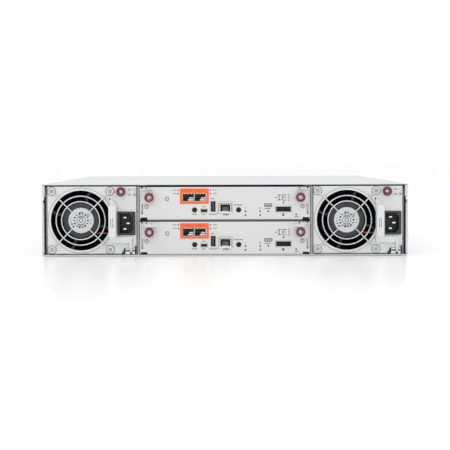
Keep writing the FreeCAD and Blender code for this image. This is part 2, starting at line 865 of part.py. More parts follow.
def fan_frame():
    """Square frame with its round duct, and the stator plate on curved struts."""
    start = face + power_wall
    half = fan_square / 2
    x, z = fan_from_left, fan_height
    frame = rect_y(x - half, z - half, x + half, z + half, fan_corner, start, fan_frame_depth)
    duct = rod((x, start - 1, z), (0, 1, 0), duct_radius, fan_frame_depth + 2)
    waist = duct_waist(start)
    frame = frame.cut(Part.makeCompound([duct, waist]))
    holes = [rod((cx, start - 1, cz), (0, 1, 0), guard_screw_shank + port_gap, fan_frame_depth + 2)
             for cx, cz in fan_corners(fan_hole_spacing)]
    frame = frame.cut(Part.makeCompound(holes))
    plate_start = face + stator_recess
    plate = rod((x, plate_start, z), (0, 1, 0), stator_radius, stator_thickness)
    boss = rod((x, plate_start - stator_boss_height, z), (0, 1, 0), stator_boss_radius,
               stator_boss_height)
    struts = []
    for i in range(strut_count):
        strut = fan_strut(plate_start)
        strut.rotate(fan_middle(0), Vec(0, 1, 0), i * 360.0 / strut_count + strut_turn)
        struts.append(strut)
    stator = fuse([frame, plate, boss] + struts)
    bearing = rod((x, plate_start + stator_thickness - bearing_depth, z), (0, 1, 0),
                  shaft_radius + running_fit, bearing_depth + 1)
    return stator.cut(bearing)


def duct_waist(start):
    """Open ring round the middle of the frame between its two square flanges."""
    x, z = fan_from_left, fan_height
    half = fan_square / 2
    band = rect_y(x - half - 1, z - half - 1, x + half + 1, z + half + 1, 0.0, start + fan_flange,
                  fan_frame_depth - 2 * fan_flange)
    core = rod((x, start, z), (0, 1, 0), duct_radius + duct_sleeve, fan_frame_depth)
    posts = [rod((cx, start, cz), (0, 1, 0), guard_screw_shank + post_wall, fan_frame_depth)
             for cx, cz in fan_corners(fan_hole_spacing)]
    return band.cut(Part.makeCompound([core] + posts))


def fan_strut(plate_start):
    """One arm from the stator plate to the duct."""
    x, z = fan_from_left, fan_height
    inner = stator_radius - 1.0
    outer = duct_radius + 0.5
    start = Vec(inner, 0, 0)
    middle = Vec((inner + outer) / 2, strut_bow, 0)
    end = Vec(outer, 0, 0)
    near = Part.Arc(start, middle, end).toShape()
    shift = Vec(0, -strut_width, 0)
    far = Part.Arc(start + shift, middle + shift, end + shift).toShape()
    wire = Part.Wire([near, Part.LineSegment(end, end + shift).toShape(), far,
                      Part.LineSegment(start + shift, start).toShape()])
    strut = Part.Face(wire).extrude(Vec(0, 0, stator_thickness))
    strut.rotate(Vec(0, 0, 0), Vec(1, 0, 0), 90)
    strut.translate(Vec(x, plate_start + stator_thickness, z))
    return strut


def blade_curve(radius, sweep, lean, start, depth):
    """Line of a blade at one radius: it turns about the axis as it goes along it."""
    points = []
    steps = 4
    for i in range(steps + 1):
        t = i / steps
        angle = math.radians(lean + sweep * t)
        points.append(Vec(fan_from_left + radius * math.cos(angle), start + depth * t,
                          fan_height + radius * math.sin(angle)))
    curve = Part.BSplineCurve()
    curve.interpolate(points)
    return curve.toShape()


def fan_rotor():
    """Hub with its shaft and twisted blades."""
    start = face + stator_recess + stator_thickness + rotor_gap
    x, z = fan_from_left, fan_height
    hub = rod((x, start, z), (0, 1, 0), rotor_hub_radius, rotor_hub_depth)
    shaft_length = rotor_gap + bearing_depth - seat_gap
    shaft = rod((x, start - shaft_length, z), (0, 1, 0), shaft_radius, shaft_length + 1)
    blade_start = start + blade_edge_gap
    depth = rotor_hub_depth - 2 * blade_edge_gap - blade_thickness
    root = rotor_hub_radius - blade_thickness / 2
    tip = duct_radius - blade_tip_gap
    surface = Part.makeRuledSurface(
        blade_curve(root, blade_root_sweep, 0.0, blade_start, depth),
        blade_curve(tip, blade_tip_sweep, -blade_lean, blade_start, depth))
    blade = surface.extrude(Vec(0, blade_thickness, 0))
    blades = []
    for i in range(blade_count):
        copy = blade.copy()
        copy.rotate(fan_middle(0), Vec(0, 1, 0), i * 360.0 / blade_count)
        blades.append(copy)
    return fuse([hub, shaft] + blades)


def wire_section(x, y, across):
    """Outline of the guard's wire round a point, square to the axis that it runs along."""
    points = []
    for i in range(wire_sides):
        angle = math.pi * (2 * i + 1) / wire_sides
        points.append(Vec(x, y, 0) + across * (wire_radius * math.cos(angle))
                      + Vec(0, wire_radius * math.sin(angle), 0))
    return Part.makePolygon(points + points[:1])


def guard_ring(radius):
    """One ring of the guard, round the fan's axis."""
    section = Part.Face(wire_section(radius, 0, Vec(1, 0, 0)))
    ring = section.revolve(Vec(0, 0, 0), Vec(0, 1, 0), 360)
    ring.translate(fan_middle(-guard_stand_off))
    return ring


def guard_leg():
    """One leg of the guard, along +X from the fan's axis: it steps down to an eye on the face."""
    high = -guard_stand_off - guard_cross_step
    low = -guard_eye_thickness / 2
    reach = fan_hole_spacing / math.sqrt(2)
    step_start = fan_opening_radius + opening_rim_width + guard_step_gap
    corners = [Vec(guard_leg_start, high, 0), Vec(step_start, high, 0),
               Vec(step_start + guard_step_length, low, 0),
               Vec(reach - guard_screw_shank - wire_radius, low, 0)]
    path = bent_wire(corners, guard_bend)
    section = wire_section(corners[0].x, corners[0].y, Vec(0, 0, 1))
    wire = path.makePipeShell([section], True, False)
    eye = rod((reach, low - guard_eye_thickness / 2, 0), (0, 1, 0), guard_eye_radius, guard_eye_thickness)
    hole = rod((reach, low - guard_eye_thickness, 0), (0, 1, 0), guard_screw_shank + port_gap,
               2 * guard_eye_thickness)
    leg = fuse([wire, eye]).cut(hole)
    leg.translate(fan_middle(0))
    return leg


def bent_wire(corners, radius):
    """An open path through corners, each turned on the same radius."""
    edges = []
    start = corners[0]
    for i in range(1, len(corners) - 1):
        here = corners[i]
        before = corners[i - 1] - here
        after = corners[i + 1] - here
        half = before.getAngle(after) / 2
        reach = radius / math.tan(half)
        before.normalize()
        after.normalize()
        inward = before + after
        inward.normalize()
        first = here + before * reach
        last = here + after * reach
        middle = here + inward * (radius / math.sin(half) - radius)
        edges.append(Part.LineSegment(start, first).toShape())
        edges.append(Part.Arc(first, middle, last).toShape())
        start = last
    edges.append(Part.LineSegment(start, corners[-1]).toShape())
    return Part.Wire(edges)


def fan_guard():
    """Wire guard: two rings on four legs, with the four screws that hold its eyes."""
    parts = []
    for inset in guard_ring_insets:
        parts.append(guard_ring(fan_opening_radius - inset))
    for i in range(4):
        leg = guard_leg()
        leg.rotate(fan_middle(0), Vec(0, 1, 0), 45.0 + 90.0 * i)
        parts.append(leg)
    wires = fuse(parts)
    screws = []
    for x, z in fan_corners(fan_hole_spacing):
        under_head = -guard_eye_thickness
        shank = rod((x, face + under_head, z), (0, 1, 0), guard_screw_shank, guard_screw_length)
        head = rod((x, face + under_head - guard_screw_head_height, z), (0, 1, 0), guard_screw_head,
                   guard_screw_head_height)
        crown = [edge for edge in head.Edges if edge.Closed and
                 edge.CenterOfMass.y < face + under_head - guard_screw_head_height / 2]
        head = head.makeFillet(guard_screw_head_height / 2, crown[:1])
        screws.append(fuse([shank, head]))
    return Part.makeCompound([wires] + screws)


def mains_inlet():
    """Appliance inlet with a chamfered mouth, two blades beside each other and an earth blade."""
    x, z = inlet_middle()
    flange = rect_y(x - inlet_width / 2, z - inlet_height / 2, x + inlet_width / 2,
                    z + inlet_height / 2, inlet_flange_corner, face - inlet_flange, inlet_flange)
    half_w = inlet_width / 2 - inlet_body_margin
    half_h = inlet_height / 2 - inlet_body_margin
    body = rect_y(x - half_w, z - half_h, x + half_w, z + half_h, inlet_flange_corner, face,
                  inlet_body_depth)
    mouth_w = inlet_mouth_width / 2
    mouth_h = inlet_mouth_height / 2
    cut = inlet_mouth_chamfer
    mouth = plate_y(
        [(x - mouth_w, z - mouth_h), (x + mouth_w - cut, z - mouth_h), (x + mouth_w, z - mouth_h + cut),
         (x + mouth_w, z + mouth_h - cut), (x + mouth_w - cut, z + mouth_h), (x - mouth_w, z + mouth_h)],
        [0.8, 0.0, 0.0, 0.0, 0.0, 0.8], face - inlet_flange - 1, inlet_mouth_depth + 1)
    shell = fuse([flange, body]).cut(mouth)
    floor = face - inlet_flange + inlet_mouth_depth
    blades = []
    places = [(x - earth_offset / 2, z - blade_spacing / 2, 0.0),
              (x - earth_offset / 2, z + blade_spacing / 2, 0.0),
              (x + earth_offset / 2, z, earth_extra_length)]
    for bx, bz, extra in places:
        length = contact_blade_length + extra
        blades.append(box((bx - contact_blade_width / 2, floor - length, bz - contact_blade_thickness / 2),
                          (bx + contact_blade_width / 2, floor + 1, bz + contact_blade_thickness / 2)))
    return fuse([shell] + blades)


def thumbscrew(x, seat_y, z):
    """Captive screw: a ring round a slotted cap, with its shank through the face."""
    ring = rod((0, 0, 0), (0, 1, 0), thumb_ring_radius, thumb_head_height)
    well = rod((0, -1, 0), (0, 1, 0), thumb_ring_inner, 1 + thumb_head_height / 2)
    ring = ring.cut(well)
    cap = rod((0, thumb_cap_sink, 0), (0, 1, 0), thumb_cap_radius, thumb_head_height - thumb_cap_sink)
    slot = box((-thumb_cap_radius - 1, -1, -thumb_slot_width / 2),
               (thumb_cap_radius + 1, thumb_cap_sink + thumb_slot_depth, thumb_slot_width / 2))
    shank = rod((0, thumb_head_height - 1, 0), (0, 1, 0), thumb_shank_radius, thumb_shank_length + 1)
    screw = fuse([ring, cap.cut(slot), shank])
    screw.translate(Vec(x, seat_y - thumb_head_height, z))
    return screw


def power_thumbscrew():
    """The screw that holds a power module in its bay."""
    return thumbscrew(power_thumb_right, face - thumb_stand_off, power_thumb_height)


def handle_channel(left, right, low, high):
    """The handle's bent sheet: its back, its right side and the grip in front."""
    back = face - lever_stand_off
    grip = face - handle_reach
    corners, radii = sheet_outline([(left, back), (right, back), (right, grip), (left, grip)],
                                   lever_sheet, bend)
    channel = prism(corners, radii, high - low)
    channel.translate(Vec(0, 0, low))
    rounded = plate_y(rectangle(left, low, right, high), [handle_corner, 0.0, 0.0, handle_corner],
                      grip, handle_reach)
    return channel.common(rounded)


def power_lever():
    """Handle beside the inlet, an arm under the inlet, and a blade down to the pivot."""
    x, z = fan_from_left, fan_height
    right = power_width - inlet_edge - inlet_width - handle_inlet_gap
    left = right - handle_width
    arm_end = blade_from_left + lever_blade_sheet / 2
    arm_top = z + handle_arm_top_from_fan
    arm_low = z + handle_arm_bottom_from_fan
    top = z + handle_top_from_fan
    shoulder = z + handle_shoulder_from_fan
    plate_start = face - lever_stand_off - lever_sheet
    plate = plate_y(
        [(left, arm_low), (arm_end, arm_low), (arm_end, arm_top), (right, arm_top), (right, shoulder),
         (left + lever_sheet, top), (left, top - lever_sheet)],
        [2.5, 0.0, 0.0, 0.0, 0.0, 0.0, 0.0], plate_start, lever_sheet)
    channel = handle_channel(left, right, arm_top, shoulder)
    back = -lever_stand_off
    nose = back - lever_blade_reach
    low = power_pivot_height - pivot_eye_radius
    eye_top = power_pivot_height + pivot_eye_radius
    blade = plate_x(
        [(face + back, arm_top), (face + nose, arm_top), (face + nose, eye_top + 0.6),
         (face - 1.0, low + 1.3), (face + power_pivot_depth, low), (face + power_pivot_depth, eye_top),
         (face + back, eye_top + 0.2)],
        [0.0] * 7, blade_from_left - lever_blade_sheet / 2, lever_blade_sheet)
    eye = rod((blade_from_left - lever_blade_sheet / 2, face + power_pivot_depth, power_pivot_height),
              (1, 0, 0), pivot_eye_radius, lever_blade_sheet)
    hole = rod((blade_from_left - lever_blade_sheet, face + power_pivot_depth, power_pivot_height),
               (1, 0, 0), power_pivot_radius + running_fit, 2 * lever_blade_sheet)
    return fuse([plate, channel, blade, eye]).cut(hole)


# ---------------------------------------------------------------- controller modules
# Each is drawn with the lower edge of its face at Z = 0.
def tray_floor():
    """Underside of a controller's tray, on its clearance above the sheet under it."""
    return seat_gap - controller_face_gap


def lever_line():
    """Middle of a lever's side plate, from the middle of the module."""
    return controller_half - edge_strip - lever_slot_width / 2


def port_cutters():
    """Holes in a controller's face for its ports."""
    cutters = []
    for i in range(2):
        width, high = cage_opening
        x = cage_left[0] + i * cage_pitch
        cutters.append((x, cage_left[1], width + 2 * cage_wall, high + 2 * cage_wall))
    cutters.append(mini_port + (mini_size[0] + 2 * small_port_wall, mini_size[1] + 2 * small_port_wall))
    cutters.append(host_port + (host_size[0] + 2 * small_port_wall, host_size[1] + 2 * small_port_wall))
    cutters.append(network_port + network_shield)
    cutters.append(expansion_port + (expansion_size[0] + 2 * expansion_wall,
                                     expansion_size[1] + 2 * expansion_wall))
    shapes = []
    for x, z, width, high in cutters:
        shapes.append(rect_y(x - width / 2 - port_gap, z - high / 2 - port_gap,
                             x + width / 2 + port_gap, z + high / 2 + port_gap, 0.0, face - 1,
                             face_sheet + 2))
    for x, z in audio_jacks:
        shapes.append(rod((x, face - 1, z), (0, 1, 0), jack_radius + port_gap, face_sheet + 2))
    return shapes


def controller_tray():
    """Face, floor and side walls of a controller, with the pins that its levers turn on."""
    low = tray_floor()
    half = controller_half
    path = [(half, tray_wall_height), (half, low), (-half, low), (-half, tray_wall_height)]
    tray = bent_along_y(path, tray_wall, bend, face + face_sheet, module_end - face - face_sheet
                        - board_back_gap)
    skirt = box((-half + corner_notch, face, low), (half - corner_notch, face + face_sheet + 1.0,
                low + tray_wall))
    plate = rect_y(-half, 0.0, half, controller_height, 0.0, face, face_sheet)
    cutters = port_cutters()
    for side in (-1, 1):
        slot_x = side * lever_line()
        cutters.append(box((slot_x - lever_slot_width / 2, face - 1, lever_slot_bottom),
                           (slot_x + lever_slot_width / 2, face + face_sheet + 1, controller_height + 1)))
        notch_end = side * (half - corner_notch)
        notch_start = side * (half - edge_strip / 2)
        cutters.append(box((min(notch_end, notch_start), face - 1, -1),
                           (max(notch_end, notch_start), face + face_sheet + 1, corner_notch_height)))
        cutters.append(rod((side * (half - controller_thumb_in), face - 1, controller_thumb_up),
                           (0, 1, 0), thumb_hole_radius, face_sheet + 2))
    parts = [tray, plate, skirt]
    for side in (-1, 1):
        parts.append(controller_lug(side))
    body = fuse(parts).cut(Part.makeCompound(cutters))
    pins = []
    for side in (-1, 1):
        inner = lever_line() - controller_lever_sheet / 2 - lug_gap - controller_lug_width
        start = min(side * inner, side * (half - tray_wall / 2))
        length = half - tray_wall / 2 - inner
        pins.append(rod((start, face + controller_pivot_depth, controller_pivot_height), (1, 0, 0),
                        controller_pivot_radius, length))
    return fuse([body] + pins)


def controller_lug(side):
    """Bracket on the tray's floor that holds the inner end of a lever's pin."""
    outer = lever_line() - controller_lever_sheet / 2 - lug_gap
    inner = outer - controller_lug_width
    depth = controller_pivot_depth
    top = controller_pivot_height + controller_eye_radius
    lug = plate_x([(face + face_sheet / 2, tray_floor()), (face + 2.5 * depth, tray_floor()),
                   (face + 2.5 * depth, top - 3.0), (face + 2 * depth - face_sheet / 2, top),
                   (face + face_sheet / 2, top)],
                  [0.0, 0.0, 1.5, 1.5, 0.0], min(side * inner, side * outer), controller_lug_width)
    return lug


def controller_board():
    """Circuit board with its main chips, memory, heat sink and edge connector."""
    low = tray_floor() + tray_wall
    start = face + board_front_gap
    half = controller_half - tray_wall - board_margin
    top = low + board_stand + board_thickness
    end = module_end - board_back_gap
    length = end - start
    corners = [(-half, start), (half, start), (half, end), (-half, end)]
    board = prism(corners, [board_corner] * 4, board_thickness)
    board.translate(Vec(0, 0, low + board_stand))
    parts = [board]
    inset_x, inset_y = standoff_inset
    for x in (-half + inset_x, half - inset_x):
        for y in (start + inset_y, (start + end) / 2, end - inset_y):
            parts.append(rod((x, y, low), (0, 0, 1), standoff_radius, board_stand))
    left, right, near, far = sink_place
    parts.append(box((left * half, start + near * length, top),
                     (right * half, start + far * length, top + sink_base)))
    pitch = ((right - left) * half - sink_fin) / (sink_count - 1)
    for i in range(sink_count):
        x = left * half + i * pitch
        parts.append(box((x, start + near * length, top + sink_base / 2),
                         (x + sink_fin, start + far * length, top + sink_height)))
    for left, right, near, far, high in board_blocks:
        parts.append(box((left * half, start + near * length, top),
                         (right * half, start + far * length, top + high)))
    parts.append(rect_y(-module_plug[0] / 2, top, module_plug[0] / 2, top + module_plug[2], 1.0,
                        end - board_plug_length, module_end - end + board_plug_length))
    return fuse(parts)


def tube_port(middle, inner, wall, length, closed):
    """A rectangular connector shell through the face, shut at its far end."""
    x, z = middle
    width, high = inner
    outer = rect_y(x - width / 2 - wall, z - high / 2 - wall, x + width / 2 + wall,
                   z + high / 2 + wall, 0.0, face - port_proud, length)
    hollow = rect_y(x - width / 2, z - high / 2, x + width / 2, z + high / 2, 0.0,
                    face - port_proud - 1, 1 + length - closed)
    return outer.cut(hollow)


def port_foot(x, width, port_low, length):
    """Block that carries a port's far part on the board."""
    board_top = tray_floor() + tray_wall + board_stand + board_thickness
    return box((x - width / 2, face + board_front_gap + 1.0, board_top),
               (x + width / 2, face - port_proud + length, port_low))


def controller_ports():
    """Connector shells of a controller, each on its foot on the board."""
    ports = []
    for i in range(2):
        x = cage_left[0] + i * cage_pitch
        cage = tube_port((x, cage_left[1]), cage_opening, cage_wall, cage_length, 2.0)
        foot = port_foot(x, cage_opening[0] - 2.0, cage_left[1] - cage_opening[1] / 2 - cage_wall,
                         cage_length)
        ports.append(cage.fuse(foot))
    ports = [fuse(ports)]
    for x, z in audio_jacks:
        barrel = rod((x, face - port_proud, z), (0, 1, 0), jack_radius, jack_length)
        foot = port_foot(x, jack_radius, z - jack_radius / 2, jack_length)
        hole = rod((x, face - port_proud - 1, z), (0, 1, 0), jack_bore, jack_length - 1)
        ports.append(fuse([barrel, foot]).cut(hole))
    for middle, size in ((mini_port, mini_size), (host_port, host_size)):
        shell = tube_port(middle, size, small_port_wall, small_port_length, 2.0)
        foot = port_foot(middle[0], size[0] - 1.0, middle[1] - size[1] / 2 - small_port_wall,
                         small_port_length)
        ports.append(fuse([shell, foot]))
    wall = (network_shield[0] - network_opening[0]) / 2
    x, z = network_port
    shield = rect_y(x - network_shield[0] / 2, z - network_shield[1] / 2, x + network_shield[0] / 2,
                    z + network_shield[1] / 2, 0.0, face - port_proud, network_length)
    socket_low = z - network_shield[1] / 2 + wall
    socket = rect_y(x - network_opening[0] / 2, socket_low, x + network_opening[0] / 2,
                    socket_low + network_opening[1], 0.0, face - port_proud - 1, network_depth + 1)
    foot = port_foot(x, network_shield[0] - 2.0, z - network_shield[1] / 2, network_length)
    ports.append(fuse([shield.cut(socket), foot]))
    shell = tube_port(expansion_port, expansion_size, expansion_wall, expansion_length, 3.0)
    ex, ez = expansion_port
    tongue = box((ex - expansion_size[0] / 2 + 1.4, face + 4.0, ez - expansion_tongue / 2),
                 (ex + expansion_size[0] / 2 - 1.4, face - port_proud + expansion_length - 2.0,
                  ez + expansion_tongue / 2))
    foot = port_foot(ex, expansion_size[0] - 2.0, ez - expansion_size[1] / 2 - expansion_wall,
                     expansion_length)
    ports.append(fuse([shell, tongue, foot]))
    return Part.makeCompound(ports)


def controller_lever(side):
    """Latch lever at one end of a controller: side plate, front plate, finger tab and eye."""
    plate_x_middle = side * lever_line()
    half_sheet = controller_lever_sheet / 2
    front_back = face - lever_stand_off
    front_face = front_back - controller_lever_sheet
    pivot_y = face + controller_pivot_depth
    low = controller_pivot_height - controller_eye_radius
    side_plate = plate_x(
        [(front_face, controller_lever_low - 1.5), (face + face_sheet, low + 1.0),
         (pivot_y + 1.4, controller_pivot_height + 2.2), (face + 1.8, controller_pivot_height + 5.0),
         (face + 1.8, controller_lever_top - 2.0), (front_back, controller_lever_top),
         (front_face, controller_lever_top)],
        [0.0] * 7, plate_x_middle - half_sheet, controller_lever_sheet)
    eye = rod((plate_x_middle - half_sheet, pivot_y, controller_pivot_height), (1, 0, 0),
              controller_eye_radius, controller_lever_sheet)
    outer_edge = lever_line() + half_sheet
    tab_path = [(front_face - controller_tab, controller_lever_top + controller_tab_rise),
                (front_back, controller_lever_top), (front_back, controller_lever_low)]
    corners, radii = sheet_outline(tab_path, controller_lever_sheet, bend)
    width = controller_lever_width
    start = min(side * outer_edge, side * (outer_edge - width))
    front_plate = plate_x(corners, radii, start, width)
    corner_cut = prism(
        [(side * (outer_edge - width + 3.5), front_face - controller_tab - 1),
         (side * (outer_edge - width - 1), front_face - controller_tab - 1),
         (side * (outer_edge - width - 1), front_face - 1.5)],
        [0.0] * 3, 4.0)
    corner_cut.translate(Vec(0, 0, controller_lever_top - 1.5))
    hole = rod((side * (controller_half - controller_thumb_in), front_face - 1, controller_thumb_up),
               (0, 1, 0), thumb_shank_radius + seat_gap, controller_lever_sheet + 2)
    pivot = rod((plate_x_middle - 1, pivot_y, controller_pivot_height), (1, 0, 0),
                controller_pivot_radius + running_fit, 2)
    return fuse([side_plate, eye, front_plate]).cut(Part.makeCompound([corner_cut, hole, pivot]))


def controller_thumbscrew(side):
    """Captive screw that goes through a lever's front plate into the face."""
    front_face = face - lever_stand_off - controller_lever_sheet
    return thumbscrew(side * (controller_half - controller_thumb_in), front_face - thumb_stand_off,
                      controller_thumb_up)


# ---------------------------------------------------------------- all the parts
def collect():
    """Every sub-part by its name, in its place."""
    nodes = {
        "chassis_base": chassis_base(),
        "top_cover": top_cover(),
        "bay_frame": bay_frame(),
        "midplane_board": midplane_board(),
        "midplane_connectors": midplane_plugs(),
        "rack_ears": rack_ears(),
        "disk_guides": disk_guides(),
    }
    power = {
        "case": power_case(),
        "fan_frame": fan_frame(),
        "fan_rotor": fan_rotor(),
        "fan_guard": fan_guard(),
        "mains_inlet": mains_inlet(),
        "lever": power_lever(),
        "thumbscrew": power_thumbscrew(),
    }
    for name, left in (("power_a", -liner_face + power_gap), ("power_b", bay_inner + power_gap)):
        for part, shape in power.items():
            nodes[name + "_" + part] = moved(shape, left, 0, 0)
    controller = {
        "tray": controller_tray(),
        "board": controller_board(),
        "ports": controller_ports(),
        "lever_left": controller_lever(-1),
        "lever_right": controller_lever(1),
        "thumbscrew_left": controller_thumbscrew(-1),
        "thumbscrew_right": controller_thumbscrew(1),
    }
    for name, base in (("controller_a", upper_base), ("controller_b", lower_base)):
        for part, shape in controller.items():
            nodes[name + "_" + part] = moved(shape, 0, 0, base)
    carrier = disk_carrier()
    lever = carrier_lever()
    number = 0
    for row in range(disk_rows):
        for column in range(disk_columns):
            number += 1
            name = "disk_%02d" % number
            nodes[name + "_carrier"] = moved(carrier, column_middle(column), 0, row_base(row))
            nodes[name + "_lever"] = moved(lever, column_middle(column), 0, row_base(row))
    return nodes


def main():
    os.makedirs("parts", exist_ok=True)
    for name, shape in collect().items():
        shape.exportStep(os.path.join("parts", name + ".step"))


main()
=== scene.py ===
"""Dress the two-unit disk enclosure.

Sheet-metal finishes, ports, printed marks, lamps and fasteners go round its CAD model.
"""

import logging
import math
from dataclasses import dataclass, field
from enum import Enum
from typing import Iterable, Sequence

import bmesh
import bpy
from mathutils import Matrix, Vector


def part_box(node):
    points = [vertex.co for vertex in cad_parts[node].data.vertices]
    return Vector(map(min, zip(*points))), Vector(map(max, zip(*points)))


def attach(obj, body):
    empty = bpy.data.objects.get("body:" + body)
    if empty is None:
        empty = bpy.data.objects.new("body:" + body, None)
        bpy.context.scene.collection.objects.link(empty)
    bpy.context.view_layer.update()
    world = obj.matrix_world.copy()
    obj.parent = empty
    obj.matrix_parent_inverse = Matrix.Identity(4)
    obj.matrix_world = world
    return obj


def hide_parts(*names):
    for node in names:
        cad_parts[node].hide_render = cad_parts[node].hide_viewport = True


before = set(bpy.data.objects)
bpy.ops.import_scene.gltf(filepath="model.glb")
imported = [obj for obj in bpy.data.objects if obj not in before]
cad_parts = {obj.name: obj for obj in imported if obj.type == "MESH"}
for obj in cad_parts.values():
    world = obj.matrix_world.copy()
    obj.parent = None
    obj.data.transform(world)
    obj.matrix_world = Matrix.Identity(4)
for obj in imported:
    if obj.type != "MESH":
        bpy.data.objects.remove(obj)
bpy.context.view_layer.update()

LOG = logging.getLogger("enclosure")
MM = 0.001
CRISP_ANGLE = 35.0  # edges sharper than this stay crisp, in degrees
Colour = tuple[float, float, float]
Point = tuple[float, float, float]


class Axis(Enum):
    """An axis that a turned piece stands along."""

    X = "X"
    Y = "Y"
    Z = "Z"


class Side(Enum):
    """Which end of a controller a latch is on."""

    LEFT = -1
    RIGHT = 1

    @property
    def word(self) -> str:
        """The side's name in the model."""
        return self.name.lower()


# ------------------------------------------------------------------ shader node groups
def _socket(tree: bpy.types.NodeTree, name: str, out: bool, kind: str, value: object = None) -> None:
    """Add a socket to a node group.

    Args:
        tree: The group's node tree.
        name: The socket's name.
        out: True for an output.
        kind: The socket's type, such as NodeSocketFloat.
        value: The socket's starting value.
    """
    item = tree.interface.new_socket(name=name, in_out="OUTPUT" if out else "INPUT", socket_type=kind)
    if value is not None:
        item.default_value = value


def _math(tree: bpy.types.NodeTree, operation: str, *values: object) -> bpy.types.NodeSocket:
    """Add a Math node.

    Args:
        tree: The tree that gets the node.
        operation: The node's operation.
        values: A number or a socket for each input.

    Returns:
        The node's output.
    """
    node = tree.nodes.new("ShaderNodeMath")
    node.operation = operation
    for i, value in enumerate(values):
        if isinstance(value, bpy.types.NodeSocket):
            tree.links.new(value, node.inputs[i])
        else:
            node.inputs[i].default_value = value
    return node.outputs[0]


def _noise(tree: bpy.types.NodeTree, vector: bpy.types.NodeSocket, scale: object,
           detail: float) -> bpy.types.NodeSocket:
    """Add a Noise Texture.

    Args:
        tree: The tree that gets the node.
        vector: Where the texture is read.
        scale: A number or a socket.
        detail: How many finer layers it has.

    Returns:
        The texture's value.
    """
    node = tree.nodes.new("ShaderNodeTexNoise")
    node.inputs["Detail"].default_value = detail
    tree.links.new(vector, node.inputs["Vector"])
    if isinstance(scale, bpy.types.NodeSocket):
        tree.links.new(scale, node.inputs["Scale"])
    else:
        node.inputs["Scale"].default_value = scale
    return node.outputs["Fac"]


def _range(tree: bpy.types.NodeTree, value: bpy.types.NodeSocket, low: object, high: object,
           start: float = 0.0, end: float = 1.0) -> bpy.types.NodeSocket:
    """Map a value from start..end onto low..high.

    Args:
        tree: The tree that gets the node.
        value: The value to map.
        low: Result at start, a number or a socket.
        high: Result at end, a number or a socket.
        start: Where the mapping begins.
        end: Where it ends.

    Returns:
        The mapped value.
    """
    node = tree.nodes.new("ShaderNodeMapRange")
    tree.links.new(value, node.inputs["Value"])
    node.inputs["From Min"].default_value = start
    node.inputs["From Max"].default_value = end
    for name, item in (("To Min", low), ("To Max", high)):
        if isinstance(item, bpy.types.NodeSocket):
            tree.links.new(item, node.inputs[name])
        else:
            node.inputs[name].default_value = item
    return node.outputs["Result"]


def _group(name: str) -> tuple[bpy.types.NodeTree, bpy.types.Node, bpy.types.Node]:
    """Start a shader node group.

    Args:
        name: The group's name.

    Returns:
        The tree, its input node and its output node.
    """
    tree = bpy.data.node_groups.new(name, "ShaderNodeTree")
    return tree, tree.nodes.new("NodeGroupInput"), tree.nodes.new("NodeGroupOutput")


def build_sheet_grain() -> bpy.types.NodeTree:
    """Build the group for rolled sheet: fine lines along one axis, soft cloud and small spangle.

    Returns:
        The group.
    """
    tree, inside, outside = _group("SheetGrain")
    _socket(tree, "Vector", False, "NodeSocketVector")
    _socket(tree, "Line Scale", False, "NodeSocketFloat", 1.0)
    _socket(tree, "Spangle Scale", False, "NodeSocketFloat", 1.0)
    _socket(tree, "Depth", False, "NodeSocketFloat", 0.1)
    _socket(tree, "Shade", True, "NodeSocketFloat")
    _socket(tree, "Height", True, "NodeSocketFloat")
    vector = inside.outputs["Vector"]
    stretch = tree.nodes.new("ShaderNodeMapping")
    stretch.inputs["Scale"].default_value = (0.03, 1.0, 1.0)
    tree.links.new(vector, stretch.inputs["Vector"])
    lines = _noise(tree, stretch.outputs[0], inside.outputs["Line Scale"], 4.0)
    cloud = _noise(tree, vector, 14.0, 3.0)
    spangle = tree.nodes.new("ShaderNodeTexVoronoi")
    tree.links.new(vector, spangle.inputs["Vector"])
    tree.links.new(inside.outputs["Spangle Scale"], spangle.inputs["Scale"])
    speck = tree.nodes.new("ShaderNodeSeparateColor")
    tree.links.new(spangle.outputs["Color"], speck.inputs[0])
    blend = _math(tree, "ADD", _math(tree, "MULTIPLY", lines, 0.4), _math(tree, "MULTIPLY", cloud, 0.35))
    blend = _math(tree, "ADD", blend, _math(tree, "MULTIPLY", speck.outputs[0], 0.25))
    centred = _math(tree, "SUBTRACT", blend, 0.5)
    tree.links.new(_math(tree, "MULTIPLY", centred, inside.outputs["Depth"]), outside.inputs["Shade"])
    tree.links.new(_math(tree, "ADD", lines, _math(tree, "MULTIPLY", speck.outputs[0], 0.4)),
                   outside.inputs["Height"])
    return tree


def build_edge_wear() -> bpy.types.NodeTree:
    """Build the group for worn and cut edges: a broken mask along every sharp edge.

    Returns:
        The group.
    """
    tree, inside, outside = _group("EdgeWear")
    _socket(tree, "Vector", False, "NodeSocketVector")
    _socket(tree, "Width", False, "NodeSocketFloat", 0.0004)
    _socket(tree, "Amount", False, "NodeSocketFloat", 0.5)
    _socket(tree, "Mask", True, "NodeSocketFloat")
    bevel = tree.nodes.new("ShaderNodeBevel")
    bevel.samples = 4
    tree.links.new(inside.outputs["Width"], bevel.inputs["Radius"])
    geometry = tree.nodes.new("ShaderNodeNewGeometry")
    dot = tree.nodes.new("ShaderNodeVectorMath")
    dot.operation = "DOT_PRODUCT"
    tree.links.new(bevel.outputs[0], dot.inputs[0])
    tree.links.new(geometry.outputs["Normal"], dot.inputs[1])
    edge = _range(tree, dot.outputs["Value"], 1.0, 0.0, 0.86, 0.995)
    broken = _range(tree, _noise(tree, inside.outputs["Vector"], 420.0, 3.0), 0.35, 1.0, 0.35, 0.65)
    mask = _math(tree, "MULTIPLY", edge, broken)
    tree.links.new(_math(tree, "MULTIPLY", mask, inside.outputs["Amount"]), outside.inputs["Mask"])
    return tree


